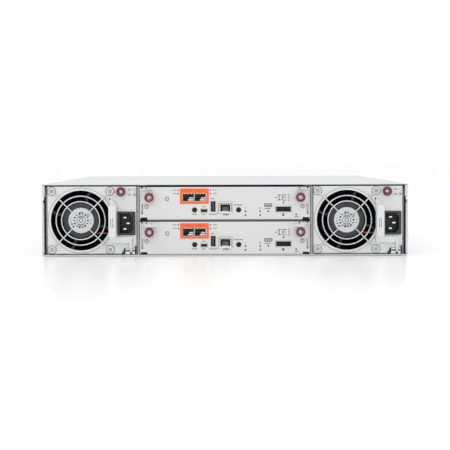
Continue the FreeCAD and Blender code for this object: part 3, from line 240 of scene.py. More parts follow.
def build_moulding() -> bpy.types.NodeTree:
    """Build the group for moulded plastic: spark-eroded grain with a faint flow cloud.

    Returns:
        The group.
    """
    tree, inside, outside = _group("Moulding")
    _socket(tree, "Vector", False, "NodeSocketVector")
    _socket(tree, "Grain Scale", False, "NodeSocketFloat", 900.0)
    _socket(tree, "Depth", False, "NodeSocketFloat", 0.1)
    _socket(tree, "Shade", True, "NodeSocketFloat")
    _socket(tree, "Height", True, "NodeSocketFloat")
    vector = inside.outputs["Vector"]
    grain = _noise(tree, vector, inside.outputs["Grain Scale"], 2.0)
    cloud = _noise(tree, vector, 40.0, 2.0)
    centred = _math(tree, "SUBTRACT", _math(tree, "MULTIPLY", _math(tree, "ADD", grain, cloud), 0.5), 0.5)
    tree.links.new(_math(tree, "MULTIPLY", centred, inside.outputs["Depth"]), outside.inputs["Shade"])
    tree.links.new(grain, outside.inputs["Height"])
    return tree


# ------------------------------------------------------------------ finishes
def shade(red: int, green: int, blue: int) -> Colour:
    """Turn a paint card's 0-255 values into a linear colour.

    Args:
        red: Red part.
        green: Green part.
        blue: Blue part.

    Returns:
        The colour that a shader takes.
    """
    def linear(value: int) -> float:
        """Linear value of one channel."""
        part = value / 255
        return part / 12.92 if part <= 0.04045 else ((part + 0.055) / 1.055) ** 2.4
    return (linear(red), linear(green), linear(blue))


@dataclass(frozen=True)
class Finish:
    """What a surface is painted, plated or moulded in.

    Attributes:
        name: The material's name.
        slot: The model's material slot that it belongs to; not used.
        colour: Linear base colour.
        roughness: Middle of its roughness.
        metallic: 1 for bare metal, 0 for paint and plastic.
    """

    name: str
    slot: str
    colour: Colour
    roughness: float
    metallic: float = 0.0

    def material(self) -> bpy.types.Material:
        """Return the finish's material, made when it is first asked for.

        Returns:
            The material, named so that it isn't mistaken for the model's plain one.
        """
        name = self.name + "_finish"
        made = bpy.data.materials.get(name)
        if made is None:
            made = bpy.data.materials.new(name)
            made.use_nodes = True
            tree = made.node_tree
            tree.nodes.clear()
            shader = tree.nodes.new("ShaderNodeBsdfPrincipled")
            output = tree.nodes.new("ShaderNodeOutputMaterial")
            tree.links.new(shader.outputs[0], output.inputs[0])
            shader.inputs["Base Color"].default_value = (*self.colour, 1.0)
            shader.inputs["Roughness"].default_value = self.roughness
            shader.inputs["Metallic"].default_value = self.metallic
            where = tree.nodes.new("ShaderNodeTexCoord").outputs["Object"]
            self.texture(tree, shader, where)
        return made

    def texture(self, tree: bpy.types.NodeTree, shader: bpy.types.Node, where: bpy.types.NodeSocket) -> None:
        """Add the finish's grain and wear. Each kind of finish has its own.

        Args:
            tree: The material's node tree.
            shader: Its Principled shader.
            where: Object coordinates.
        """

    def tinted(self, tree: bpy.types.NodeTree, lighter: bpy.types.NodeSocket) -> bpy.types.NodeSocket:
        """Scale the colour by one plus a shade.

        Args:
            tree: The material's node tree.
            lighter: Shade, about nought.

        Returns:
            The colour that varies over the surface.
        """
        node = tree.nodes.new("ShaderNodeVectorMath")
        node.operation = "SCALE"
        node.inputs[0].default_value = self.colour
        tree.links.new(_math(tree, "ADD", lighter, 1.0), node.inputs["Scale"])
        return node.outputs[0]


def _place(tree: bpy.types.NodeTree, group: str, where: bpy.types.NodeSocket,
           **values: float) -> bpy.types.Node:
    """Put a group in a material.

    Args:
        tree: The material's node tree.
        group: The group's name.
        where: Object coordinates.
        values: Its input values, with _ for a space.

    Returns:
        The group node.
    """
    node = tree.nodes.new("ShaderNodeGroup")
    node.node_tree = bpy.data.node_groups[group]
    tree.links.new(where, node.inputs["Vector"])
    for name, value in values.items():
        node.inputs[name.replace("_", " ")].default_value = value
    return node


def _relief(tree: bpy.types.NodeTree, shader: bpy.types.Node, height: bpy.types.NodeSocket,
            strength: float, depth: float) -> None:
    """Feed a height to the shader's normal.

    Args:
        tree: The material's node tree.
        shader: Its Principled shader.
        height: The height that varies over the surface.
        strength: How far it counts, 0 to 1.
        depth: Depth of the relief in metres.
    """
    bump = tree.nodes.new("ShaderNodeBump")
    bump.inputs["Strength"].default_value = strength
    bump.inputs["Distance"].default_value = depth
    tree.links.new(height, bump.inputs["Height"])
    tree.links.new(bump.outputs[0], shader.inputs["Normal"])


def _over(tree: bpy.types.NodeTree, mask: bpy.types.NodeSocket, under: object,
          over: object) -> bpy.types.NodeSocket:
    """Lay one colour over another through a mask.

    Args:
        tree: The material's node tree.
        mask: Where the upper colour shows.
        under: Colour or socket below.
        over: Colour or socket above.

    Returns:
        The mixed colour.
    """
    node = tree.nodes.new("ShaderNodeMix")
    node.data_type = "RGBA"
    tree.links.new(mask, node.inputs[0])
    for slot_number, item in ((6, under), (7, over)):
        if isinstance(item, bpy.types.NodeSocket):
            tree.links.new(item, node.inputs[slot_number])
        else:
            node.inputs[slot_number].default_value = (*item, 1.0)
    return node.outputs[2]


@dataclass(frozen=True)
class SheetFinish(Finish):
    """Plated or painted sheet metal with rolling lines, spangle and bright worn edges.

    Attributes:
        lines: Scale of the rolling lines.
        spangle: Scale of the zinc's crystals.
        depth: How far the shade varies.
        wear: How far the edges are worn.
        edge: Colour under the worn edges.
        relief: Depth of the grain in metres.
    """

    lines: float = 260.0
    spangle: float = 420.0
    depth: float = 0.12
    wear: float = 0.5
    edge: Colour = (0.9, 0.9, 0.9)
    relief: float = 0.00003

    def texture(self, tree: bpy.types.NodeTree, shader: bpy.types.Node, where: bpy.types.NodeSocket) -> None:
        """Add the rolling lines, the spangle and the edges' wear.

        Args:
            tree: The material's node tree.
            shader: Its Principled shader.
            where: Object coordinates.
        """
        grain = _place(tree, "SheetGrain", where, Line_Scale=self.lines, Spangle_Scale=self.spangle,
                       Depth=self.depth)
        wear = _place(tree, "EdgeWear", where, Width=0.00035, Amount=self.wear)
        colour = self.tinted(tree, grain.outputs["Shade"])
        tree.links.new(_over(tree, wear.outputs["Mask"], colour, self.edge), shader.inputs["Base Color"])
        rough = _range(tree, grain.outputs["Height"], self.roughness - 0.06, self.roughness + 0.08, 0.3, 1.0)
        tree.links.new(rough, shader.inputs["Roughness"])
        _relief(tree, shader, grain.outputs["Height"], 0.35, self.relief)


@dataclass(frozen=True)
class MouldedFinish(Finish):
    """Moulded plastic with a fine spark grain and slightly rubbed edges.

    Attributes:
        grain: Scale of the grain.
        depth: How far the shade varies.
        wear: How far the edges are rubbed.
        edge: Colour of a rubbed edge.
        relief: Depth of the grain in metres.
    """

    grain: float = 1400.0
    depth: float = 0.3
    wear: float = 0.25
    edge: Colour = (0.2, 0.2, 0.2)
    relief: float = 0.00004

    def texture(self, tree: bpy.types.NodeTree, shader: bpy.types.Node, where: bpy.types.NodeSocket) -> None:
        """Add the spark grain and the rubbed edges.

        Args:
            tree: The material's node tree.
            shader: Its Principled shader.
            where: Object coordinates.
        """
        grain = _place(tree, "Moulding", where, Grain_Scale=self.grain, Depth=self.depth)
        wear = _place(tree, "EdgeWear", where, Width=0.0003, Amount=self.wear)
        colour = self.tinted(tree, grain.outputs["Shade"])
        tree.links.new(_over(tree, wear.outputs["Mask"], colour, self.edge), shader.inputs["Base Color"])
        rough = _range(tree, grain.outputs["Height"], self.roughness - 0.08, self.roughness + 0.08)
        tree.links.new(rough, shader.inputs["Roughness"])
        _relief(tree, shader, grain.outputs["Height"], 0.5, self.relief)


@dataclass(frozen=True)
class BoardFinish(Finish):
    """Circuit board: solder mask with tracks, and dark parts above it.

    Attributes:
        deck: Height of the board's top in millimetres.
        parts: Colour of what stands on the board.
    """

    deck: float = 10.0
    parts: Colour = (0.02, 0.02, 0.022)

    def texture(self, tree: bpy.types.NodeTree, shader: bpy.types.Node, where: bpy.types.NodeSocket) -> None:
        """Add tracks on the board and a darker finish above it.

        Args:
            tree: The material's node tree.
            shader: Its Principled shader.
            where: Object coordinates.
        """
        tracks = tree.nodes.new("ShaderNodeTexBrick")
        tracks.offset = 0.37
        tracks.inputs["Scale"].default_value = 210.0
        tracks.inputs["Mortar Size"].default_value = 0.03
        tracks.inputs["Color1"].default_value = (*self.colour, 1.0)
        tracks.inputs["Color2"].default_value = (*[c * 0.8 for c in self.colour], 1.0)
        tracks.inputs["Mortar"].default_value = (*[c * 1.7 for c in self.colour], 1.0)
        tree.links.new(where, tracks.inputs["Vector"])
        height = tree.nodes.new("ShaderNodeSeparateXYZ")
        tree.links.new(where, height.inputs[0])
        above = _math(tree, "GREATER_THAN", height.outputs["Z"], (self.deck + 0.1) * MM)
        grain = _place(tree, "Moulding", where, Grain_Scale=900.0, Depth=0.3)
        tree.links.new(_over(tree, above, tracks.outputs["Color"], self.parts), shader.inputs["Base Color"])
        tree.links.new(_range(tree, grain.outputs["Height"], self.roughness - 0.1, self.roughness + 0.1),
                       shader.inputs["Roughness"])
        _relief(tree, shader, tracks.outputs["Fac"], 0.3, 0.00005)


@dataclass(frozen=True)
class LensFinish(Finish):
    """Moulded lens of an unlit lamp: cloudy plastic under a clear coat."""

    def texture(self, tree: bpy.types.NodeTree, shader: bpy.types.Node, where: bpy.types.NodeSocket) -> None:
        """Add the lens's cloudiness and its coat.

        Args:
            tree: The material's node tree.
            shader: Its Principled shader.
            where: Object coordinates.
        """
        cloud = _place(tree, "Moulding", where, Grain_Scale=700.0, Depth=0.3)
        tree.links.new(self.tinted(tree, cloud.outputs["Shade"]), shader.inputs["Base Color"])
        shader.inputs["Coat Weight"].default_value = 0.6
        _relief(tree, shader, cloud.outputs["Height"], 0.3, 0.00003)


ZINC = SheetFinish("zinc_steel", "zinc_steel", shade(205, 206, 208), 0.42, 0.75, lines=190.0, spangle=300.0,
                   depth=0.16, wear=0.4)
# Darker copy of the zinc for the bay frame: painted shade on the recessed divider and shelf edges.
BAY_SHADE = SheetFinish("bay_steel_painted_shade", "zinc_steel", shade(158, 159, 161), 0.44, 0.7, lines=190.0, spangle=300.0,
                  depth=0.16, wear=0.15, edge=shade(190, 190, 192))
COVER = SheetFinish("cover_steel", "cover_steel", shade(216, 217, 218), 0.4, 0.6, lines=420.0, spangle=260.0,
                    depth=0.1, wear=0.4)
FACE = SheetFinish("face_steel", "face_steel", shade(214, 214, 214), 0.46, 0.35, lines=300.0, spangle=520.0,
                   depth=0.07, wear=0.7)
LEVER = SheetFinish("lever_steel", "lever_steel", shade(218, 219, 220), 0.4, 0.4, lines=520.0, spangle=700.0,
                    depth=0.06, wear=0.35)
WIRE = SheetFinish("guard_wire", "guard_wire", shade(206, 207, 210), 0.24, 0.85, lines=900.0, spangle=900.0,
                   depth=0.08, wear=0.2)
SCREW = SheetFinish("screw_steel", "guard_wire", shade(186, 174, 158), 0.3, 0.9, lines=1500.0, spangle=1200.0,
                    depth=0.2, wear=0.5)
SHELL = SheetFinish("port_metal", "port_metal", shade(222, 220, 214), 0.26, 0.9, lines=900.0, spangle=1100.0,
                    depth=0.1, wear=0.3)
GOLD = SheetFinish("contact_gold", "port_metal", shade(214, 178, 112), 0.3, 0.9, lines=1400.0, spangle=1200.0,
                   depth=0.15, wear=0.2, edge=shade(235, 210, 160))
FAN = MouldedFinish("fan_plastic", "fan_plastic", shade(14, 14, 15), 0.45, grain=1100.0, wear=0.2)
STATOR = MouldedFinish("stator_plastic", "fan_plastic", shade(48, 47, 48), 0.46, grain=1300.0, wear=0.3)
ROTOR = MouldedFinish("rotor_plastic", "rotor_plastic", shade(10, 10, 11), 0.42, grain=1200.0, wear=0.15)
INLET = MouldedFinish("inlet_plastic", "inlet_plastic", shade(44, 44, 46), 0.44, grain=900.0, wear=0.35)
SOCKET = MouldedFinish("connector_plastic", "connector_plastic", shade(18, 18, 19), 0.4, grain=1500.0)
RING = MouldedFinish("anodised_ring", "thumbscrew_finish", shade(116, 6, 34), 0.36, 0.2, grain=2400.0,
                     depth=0.25, wear=0.5, edge=shade(190, 80, 100))
CAP = SheetFinish("screw_cap", "thumbscrew_finish", shade(244, 244, 242), 0.4, 0.6, lines=1600.0,
                  spangle=1500.0, depth=0.08, wear=0.3)
LABEL = MouldedFinish("label_film", "fan_plastic", shade(204, 205, 209), 0.36, grain=300.0,
                      depth=0.05, wear=0.0)
# Grey print, also used for painted shade lines round openings and dimples and under the levers' tabs.
INK_AND_SHADE = MouldedFinish("grey_print_and_painted_shade", "face_steel", shade(74, 75, 78), 0.6, grain=2600.0,
                    depth=0.5, wear=0.0)
BLACK_INK = MouldedFinish("black_print", "face_steel", shade(14, 14, 15), 0.6, grain=2600.0,
                          depth=0.5, wear=0.0)
ORANGE = MouldedFinish("orange_print", "face_steel", shade(240, 98, 36), 0.5, grain=2000.0, depth=0.1,
                       wear=0.15, edge=shade(255, 190, 150))
ORANGE_DARK = MouldedFinish("orange_marks", "face_steel", shade(196, 84, 40), 0.55, grain=2600.0, depth=0.4,
                            wear=0.0)
# Near-black: painted shade inside openings, bores, slots, holes and seams; the jacks' black plastic fronts
# use it too.
BLACK_AND_SHADE = MouldedFinish("dark_recess", "connector_plastic", shade(10, 10, 11), 0.7, grain=900.0, wear=0.0)
# Near-black sheets in the seams round the modules: painted shadow.
SEAM_SHADOW = MouldedFinish("painted_seam_shadow", "connector_plastic", shade(6, 6, 7), 0.95, grain=600.0,
                     depth=0.4, wear=0.0)
# Grey strip over the shelf's edge: painted shade.
SHELF_SHADE = MouldedFinish("painted_shelf_shade", "zinc_steel", shade(96, 96, 98), 0.7, grain=800.0,
                       depth=0.3, wear=0.0)
TAB = MouldedFinish("tab_enamel", "lever_steel", shade(206, 206, 207), 0.4, grain=900.0,
                    depth=0.05, wear=0.2)
# Grey of the face's screw heads, and painted shade round their dimples.
SCREW_AND_DIMPLE_SHADE = MouldedFinish("screw_dimple", "face_steel", shade(128, 128, 130), 0.5, grain=1500.0,
                       wear=0.0)
NET = MouldedFinish("socket_grey", "connector_plastic", shade(104, 104, 106), 0.5, grain=1500.0)
RED_LEAD = MouldedFinish("red_lead", "fan_plastic", shade(140, 26, 20), 0.36, grain=500.0,
                         depth=0.1, wear=0.0)
YELLOW_LEAD = MouldedFinish("yellow_lead", "fan_plastic", shade(176, 112, 48), 0.36, grain=500.0, depth=0.1,
                            wear=0.0)
TRAY = SheetFinish("disk_carrier_metal", "disk_carrier_metal", shade(150, 152, 156), 0.4, 0.7, lines=500.0,
                   spangle=800.0, depth=0.12, wear=0.5)
HANDLE = MouldedFinish("carrier_lever_plastic", "carrier_lever_plastic", shade(66, 68, 72), 0.42, grain=900.0,
                       wear=0.35)
GREEN_LENS = LensFinish("green_lens", "face_steel", shade(196, 208, 196), 0.25)
AMBER_LENS = LensFinish("amber_lens", "face_steel", shade(190, 152, 112), 0.3)
PALE_FLOOR = MouldedFinish("pale_floor", "floor", (0.97, 0.97, 0.97), 0.3, grain=3.0, depth=0.02, wear=0.0,
                           relief=0.0)


# ------------------------------------------------------------------ shaping with bmesh operators
def _turn(axis: Axis) -> Matrix:
    """Work out the turn that brings +Z onto an axis.

    Args:
        axis: The axis. For Y it is -Y, out of the service side.

    Returns:
        The turn.
    """
    if axis is Axis.X:
        return Matrix.Rotation(math.pi / 2, 4, "Y")
    if axis is Axis.Y:
        return Matrix.Rotation(math.pi / 2, 4, "X")
    return Matrix.Identity(4)


def slab(low: Point, high: Point, edge: float = 0.0) -> bmesh.types.BMesh:
    """Make a block between two corners, with eased edges.

    Args:
        low: Lowest corner.
        high: Highest corner.
        edge: Radius of the edges.

    Returns:
        The shape.
    """
    part = bmesh.new()
    bmesh.ops.create_cube(part, size=1.0)
    size = [high[i] - low[i] for i in range(3)]
    middle = [(high[i] + low[i]) / 2 for i in range(3)]
    bmesh.ops.scale(part, vec=size, verts=part.verts)
    bmesh.ops.translate(part, vec=middle, verts=part.verts)
    if edge:
        bmesh.ops.bevel(part, geom=part.edges[:], offset=edge, segments=2, profile=0.5,
                        affect="EDGES", material=-1)
    return part


def plate(corners: Sequence[tuple[float, float]], front: float, back: float,
          radius: float = 0.0) -> bmesh.types.BMesh:
    """Make a flat plate from its outline in X and Z, standing from front to back along Y.

    Args:
        corners: The outline.
        front: Y of the near face.
        back: Y of the far face.
        radius: Radius of the outline's corners.

    Returns:
        The shape.
    """
    part = bmesh.new()
    outline = [part.verts.new((x, front, z)) for x, z in corners]
    near = part.faces.new(outline)
    far = bmesh.ops.extrude_face_region(part, geom=[near])
    bmesh.ops.translate(part, vec=(0, back - front, 0),
                        verts=[v for v in far["geom"] if isinstance(v, bmesh.types.BMVert)])
    if radius:
        upright = [e for e in part.edges if abs(e.verts[0].co.y - e.verts[1].co.y) > 1e-6]
        bmesh.ops.bevel(part, geom=upright, offset=radius, segments=5, profile=0.5, affect="EDGES",
                        material=-1)
    return part


def rectangle(x: float, z: float, width: float, height: float) -> list[tuple[float, float]]:
    """Return the outline of a rectangle from its middle and size."""
    return [(x - width / 2, z - height / 2), (x + width / 2, z - height / 2),
            (x + width / 2, z + height / 2), (x - width / 2, z + height / 2)]


def window_frame(outer: Sequence[float], inner: Sequence[float], front: float,
                 back: float) -> bmesh.types.BMesh:
    """Make a thin frame round a rectangular window.

    Args:
        outer: Left, right, low and high edge of the frame.
        inner: Left, right, low and high edge of its window.
        front: Y of the near face.
        back: Y of the far face.

    Returns:
        The shape.
    """
    part = bmesh.new()
    loops = []
    for left, right, low, high in (outer, inner):
        corners = ((left, low), (right, low), (right, high), (left, high))
        ring = [part.verts.new((x, front, z)) for x, z in corners]
        loops.extend(part.edges.new((ring[i], ring[(i + 1) % 4])) for i in range(4))
    faces = bmesh.ops.bridge_loops(part, edges=loops)["faces"]
    far = bmesh.ops.extrude_face_region(part, geom=faces)
    bmesh.ops.translate(part, vec=(0, back - front, 0),
                        verts=[v for v in far["geom"] if isinstance(v, bmesh.types.BMVert)])
    return part


def turned(profile: Sequence[tuple[float, float]], centre: Point, axis: Axis,
           steps: int = 48) -> bmesh.types.BMesh:
    """Turn a profile round an axis.

    Args:
        profile: Radius and height of each point; heights run out of the service side for Axis.Y.
        centre: Where the profile's foot is.
        axis: The axis that it stands along.
        steps: Steps round the turn.

    Returns:
        The shape.
    """
    part = bmesh.new()
    points = [part.verts.new((radius, 0.0, height)) for radius, height in profile]
    edges = [part.edges.new(pair) for pair in zip(points, points[1:])]
    bmesh.ops.spin(part, geom=points + edges, cent=(0, 0, 0), axis=(0, 0, 1), dvec=(0, 0, 0),
                   angle=2 * math.pi, steps=steps, use_merge=True, use_duplicate=False)
    bmesh.ops.transform(part, matrix=Matrix.Translation(centre) @ _turn(axis), verts=part.verts)
    return part


def rod(points: Sequence[Point], radius: float) -> bmesh.types.BMesh:
    """Make a round wire along a line of points.

    Args:
        points: The line.
        radius: The wire's radius.

    Returns:
        The shape.
    """
    curve = bpy.data.curves.new("line", "CURVE")
    curve.dimensions = "3D"
    curve.bevel_depth = radius
    curve.bevel_resolution = 3
    curve.use_fill_caps = True
    line = curve.splines.new("NURBS")
    line.points.add(len(points) - 1)
    for point, place in zip(line.points, points):
        point.co = (*place, 1.0)
    line.order_u = 3
    line.use_endpoint_u = True
    line.resolution_u = 6
    holder = bpy.data.objects.new("line", curve)
    mesh = bpy.data.meshes.new_from_object(holder)
    part = bmesh.new()
    part.from_mesh(mesh)
    bpy.data.objects.remove(holder)
    bpy.data.curves.remove(curve)
    bpy.data.meshes.remove(mesh)
    return part


class Piece:
    """A piece drawn in millimetres from shapes, then dressed and put on a body."""

    def __init__(self, name: str, *finishes: Finish) -> None:
        """Start an empty piece.

        Args:
            name: The piece's name.
            finishes: Its finishes, in the order that add() counts them.
        """
        self.name = name
        self.finishes = finishes
        self.mesh = bmesh.new()

    def add(self, part: bmesh.types.BMesh, finish: int = 0, place: Matrix | None = None) -> None:
        """Take in a shape.

        Args:
            part: The shape, which is used up.
            finish: Number of its finish.
            place: Where it goes, if it was drawn elsewhere.
        """
        bmesh.ops.remove_doubles(part, verts=part.verts, dist=1e-5)
        if place is not None:
            bmesh.ops.transform(part, matrix=place, verts=part.verts)
        bmesh.ops.recalc_face_normals(part, faces=part.faces)
        for face in part.faces:
            face.material_index = finish
        mesh = bpy.data.meshes.new("shape")
        part.to_mesh(mesh)
        part.free()
        self.mesh.from_mesh(mesh)
        bpy.data.meshes.remove(mesh)

    def put_on(self, body: str, *nodes: str) -> None:
        """Finish the piece and let it ride on a body.

        Args:
            body: The body that carries it.
            nodes: Nodes of the model that it stands for.
        """
        bmesh.ops.scale(self.mesh, vec=(MM, MM, MM), verts=self.mesh.verts)
        mesh = bpy.data.meshes.new(self.name)
        self.mesh.to_mesh(mesh)
        self.mesh.free()
        mesh.shade_smooth()
        mesh.set_sharp_from_angle(angle=math.radians(CRISP_ANGLE))
        for finish in self.finishes:
            mesh.materials.append(finish.material())
        made = bpy.data.objects.new(self.name, mesh)
        bpy.context.scene.collection.objects.link(made)
        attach(made, body)
        if nodes:
            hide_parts(*nodes)
        LOG.info("%s on %s: %d faces", self.name, body, len(mesh.polygons))


def dress(node: str, finish: Finish) -> None:
    """Give a node of the model its finish.

    Args:
        node: The node's name.
        finish: The finish for all of it.
    """
    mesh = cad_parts[node].data
    mesh.materials.clear()
    mesh.materials.append(finish.material())


def recess(part: bmesh.types.BMesh, cutter: bmesh.types.BMesh) -> bmesh.types.BMesh:
    """Cut one shape out of another.

    Args:
        part: The shape that is cut, which is used up.
        cutter: What is taken away, which is used up.

    Returns:
        What is left.
    """
    holders = []
    for shape in (part, cutter):
        bmesh.ops.recalc_face_normals(shape, faces=shape.faces)
        mesh = bpy.data.meshes.new("cut")
        shape.to_mesh(mesh)
        shape.free()
        holders.append(bpy.data.objects.new("cut", mesh))
        bpy.context.scene.collection.objects.link(holders[-1])
    cut = holders[0].modifiers.new("cut", "BOOLEAN")
    cut.operation = "DIFFERENCE"
    cut.solver = "EXACT"
    cut.object = holders[1]
    graph = bpy.context.evaluated_depsgraph_get()
    left = bmesh.new()
    left.from_mesh(bpy.data.meshes.new_from_object(holders[0].evaluated_get(graph)))
    for holder in holders:
        bpy.data.objects.remove(holder)
    return left


def cross(width: float, arm: float, low: float, high: float) -> bmesh.types.BMesh:
    """Make the cutter of a cross recess along Z.

    Args:
        width: Width of each arm.
        arm: Reach of each arm from the middle.
        low: Bottom of the recess.
        high: Above the head.

    Returns:
        The cutter.
    """
    both = slab((-arm, -width / 2, low), (arm, width / 2, high))
    other = slab((-width / 2, -arm, low), (width / 2, arm, high))
    mesh = bpy.data.meshes.new("arm")
    joined = recess(other, slab((-width, -width / 2, low - 1), (width, width / 2, high + 1)))
    joined.to_mesh(mesh)
    joined.free()
    both.from_mesh(mesh)
    bpy.data.meshes.remove(mesh)
    return both


def middle_of(node: str) -> tuple[Vector, Vector, Vector]:
    """Return a node's lowest corner, highest corner and middle in millimetres."""
    low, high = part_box(node)
    return low / MM, high / MM, (low + high) / (2 * MM)


@dataclass
class Thumbscrew:
    """Captive screw with a fluted coloured ring round a plain metal cap.

    Attributes:
        node: Node of the model that it stands for.
        body: Body that it rides on.
        ring_radius: Outside of the ring.
        well_radius: Inside of the ring.
        cap_radius: Outside of the cap.
        height: Height of the ring.
        flutes: Grooves round the ring.
        flute_steps: Steps round the ring from one groove to the next.
    """

    node: str
    body: str
    ring_radius: float = 5.6
    well_radius: float = 3.65
    cap_radius: float = 3.6
    height: float = 5.5
    flutes: int = 12
    flute_steps: int = 6

    def ring(self) -> bmesh.types.BMesh:
        """Turn the ring and press its flutes in.

        Returns:
            The ring along Z, with its foot at the origin.
        """
        outer, inner, top = self.ring_radius, self.well_radius, self.height
        steps = self.flute_steps * self.flutes
        part = turned([(inner, 0.0), (outer, 0.0), (outer, top - 0.5), (outer - 0.5, top), (inner + 0.3, top),
                       (inner, top - 0.3), (inner, 0.0)], (0, 0, 0), Axis.Z, steps=steps)
        pressed = [v for v in part.verts if v.co.xy.length > outer - 0.6
                   and round(math.atan2(v.co.y, v.co.x) / (2 * math.pi) * steps) % self.flute_steps == 0]
        bmesh.ops.scale(part, vec=(0.9, 0.9, 1.0), verts=pressed)
        return part

    def cap(self) -> bmesh.types.BMesh:
        """Turn the cap and cut its cross recess.

        Returns:
            The cap along Z, with its foot at the ring's foot.
        """
        radius, top = self.cap_radius, self.height - 0.15
        cap = turned([(0.0, 0.0), (radius, 0.0), (radius, top - 0.5), (radius - 0.3, top), (0.0, top + 0.1)],
                     (0, 0, 0), Axis.Z, steps=32)
        return recess(cap, cross(0.5, 1.1, top - 0.3, top + 1))

    def build(self) -> None:
        """Put the ring, the cap and the shank on the body."""
        low, high, middle = middle_of(self.node)
        place = Matrix.Translation((middle.x, low.y + self.height, middle.z)) @ _turn(Axis.Y)
        piece = Piece(self.node + "_head", RING, CAP)
        piece.add(self.ring(), 0, place)
        piece.add(self.cap(), 1, place)
        length = high.y - low.y - self.height
        piece.add(turned([(0.0, 0.1), (1.9, 0.1), (1.9, 0.6 - length), (1.4, -length), (0.0, -length)],
                         (0, 0, 0), Axis.Z, steps=20), 1, place)
        piece.put_on(self.body, self.node)


@dataclass
class CrossScrew:
    """Pan-head screw with a cross recess, drawn once and copied.

    Attributes:
        radius: Radius of the head.
        height: Height of the head.
        sunk: True for a flat head that lies in its countersink.
    """

    radius: float = 3.4
    height: float = 1.9
    sunk: bool = False

    def head(self) -> bmesh.types.BMesh:
        """Turn the head and cut its recess.

        Returns:
            The head along Z, with its foot at the origin.
        """
        radius, top = self.radius, self.height
        if self.sunk:
            profile = [(0.0, 0.0), (radius, 0.0), (radius, top * 0.6), (radius - 0.15, top), (0.0, top)]
        else:
            profile = [(0.0, 0.0), (radius, 0.0), (radius, top * 0.35), (radius * 0.93, top * 0.65),
                       (radius * 0.75, top * 0.88), (radius * 0.45, top), (0.0, top)]
        return recess(turned(profile, (0, 0, 0), Axis.Z, steps=32),
                      cross(radius * 0.22, radius * 0.56, top * 0.35, top + 1))

    def on(self, piece: Piece, places: Iterable[Point], finish: int = 0, axis: Axis = Axis.Y) -> None:
        """Copy the head to each place.

        Args:
            piece: The piece that takes the heads.
            places: Where their feet are.
            finish: The piece's finish for them.
            axis: The axis that they stand along.
        """
        for place in places:
            piece.add(self.head(), finish, Matrix.Translation(place) @ _turn(axis))


# ------------------------------------------------------------------ printed marks and painted shade lines
class Mark(Enum):
    """Shapes that are printed on a label or a face, or painted there as shade lines."""

    BAR = "bar"
    DOT = "dot"
    RING = "ring"


@dataclass
class Print:
    """Thin flat shapes on a front, each at its place in X and Z: print, and painted shade lines.

    Attributes:
        front: Y of the surface that is printed.
        film: Thickness of each mark.
        gap: Gap between the bars of a row.
    """

    front: float
    film: float = 0.06
    gap: float = 0.45

    def stamp(self, piece: Piece, kind: Mark, x: float, z: float, width: float, height: float,
              finish: int = 0) -> None:
        """Draw one shape: a printed mark or a painted shade mark.

        Args:
            piece: The piece that takes it.
            kind: Its shape.
            x: Middle in X.
            z: Middle in Z.
            width: Width, or the diameter of a dot or a ring.
            height: Height, or the width of a ring's line.
            finish: The piece's finish for it.
        """
        near, far = self.front - self.film, self.front + self.film
        if kind is Mark.BAR:
            piece.add(plate(rectangle(x, z, width, height), near, far), finish)
        elif kind is Mark.DOT:
            radius = width / 2
            piece.add(turned([(0.0, -self.film), (radius, -self.film), (radius, self.film), (0.0, self.film)],
                             (x, self.front, z), Axis.Y, steps=20), finish)
        else:
            outer, inner = width / 2, width / 2 - height
            section = [(inner, -self.film), (outer, -self.film), (outer, self.film), (inner, self.film),
                       (inner, -self.film)]
            piece.add(turned(section, (x, self.front, z), Axis.Y, steps=32), finish)

    def dashes(self, piece: Piece, x: float, z: float, lengths: Sequence[float], height: float,
               upright: bool = False, finish: int = 0) -> None:
        """Print a row of short bars, as small lettering reads from afar.

        Args:
            piece: The piece that takes it.
            x: Start in X.
            z: Start in Z.
            lengths: Length of each bar.
            height: Height of the row.
            upright: True for a row that runs up.
            finish: The piece's finish for it.
        """
        along = 0.0
        for length in lengths:
            middle = along + length / 2
            if upright:
                self.stamp(piece, Mark.BAR, x, z + middle, height, length, finish)
            else:
                self.stamp(piece, Mark.BAR, x + middle, z, length, height, finish)
            along += length + self.gap


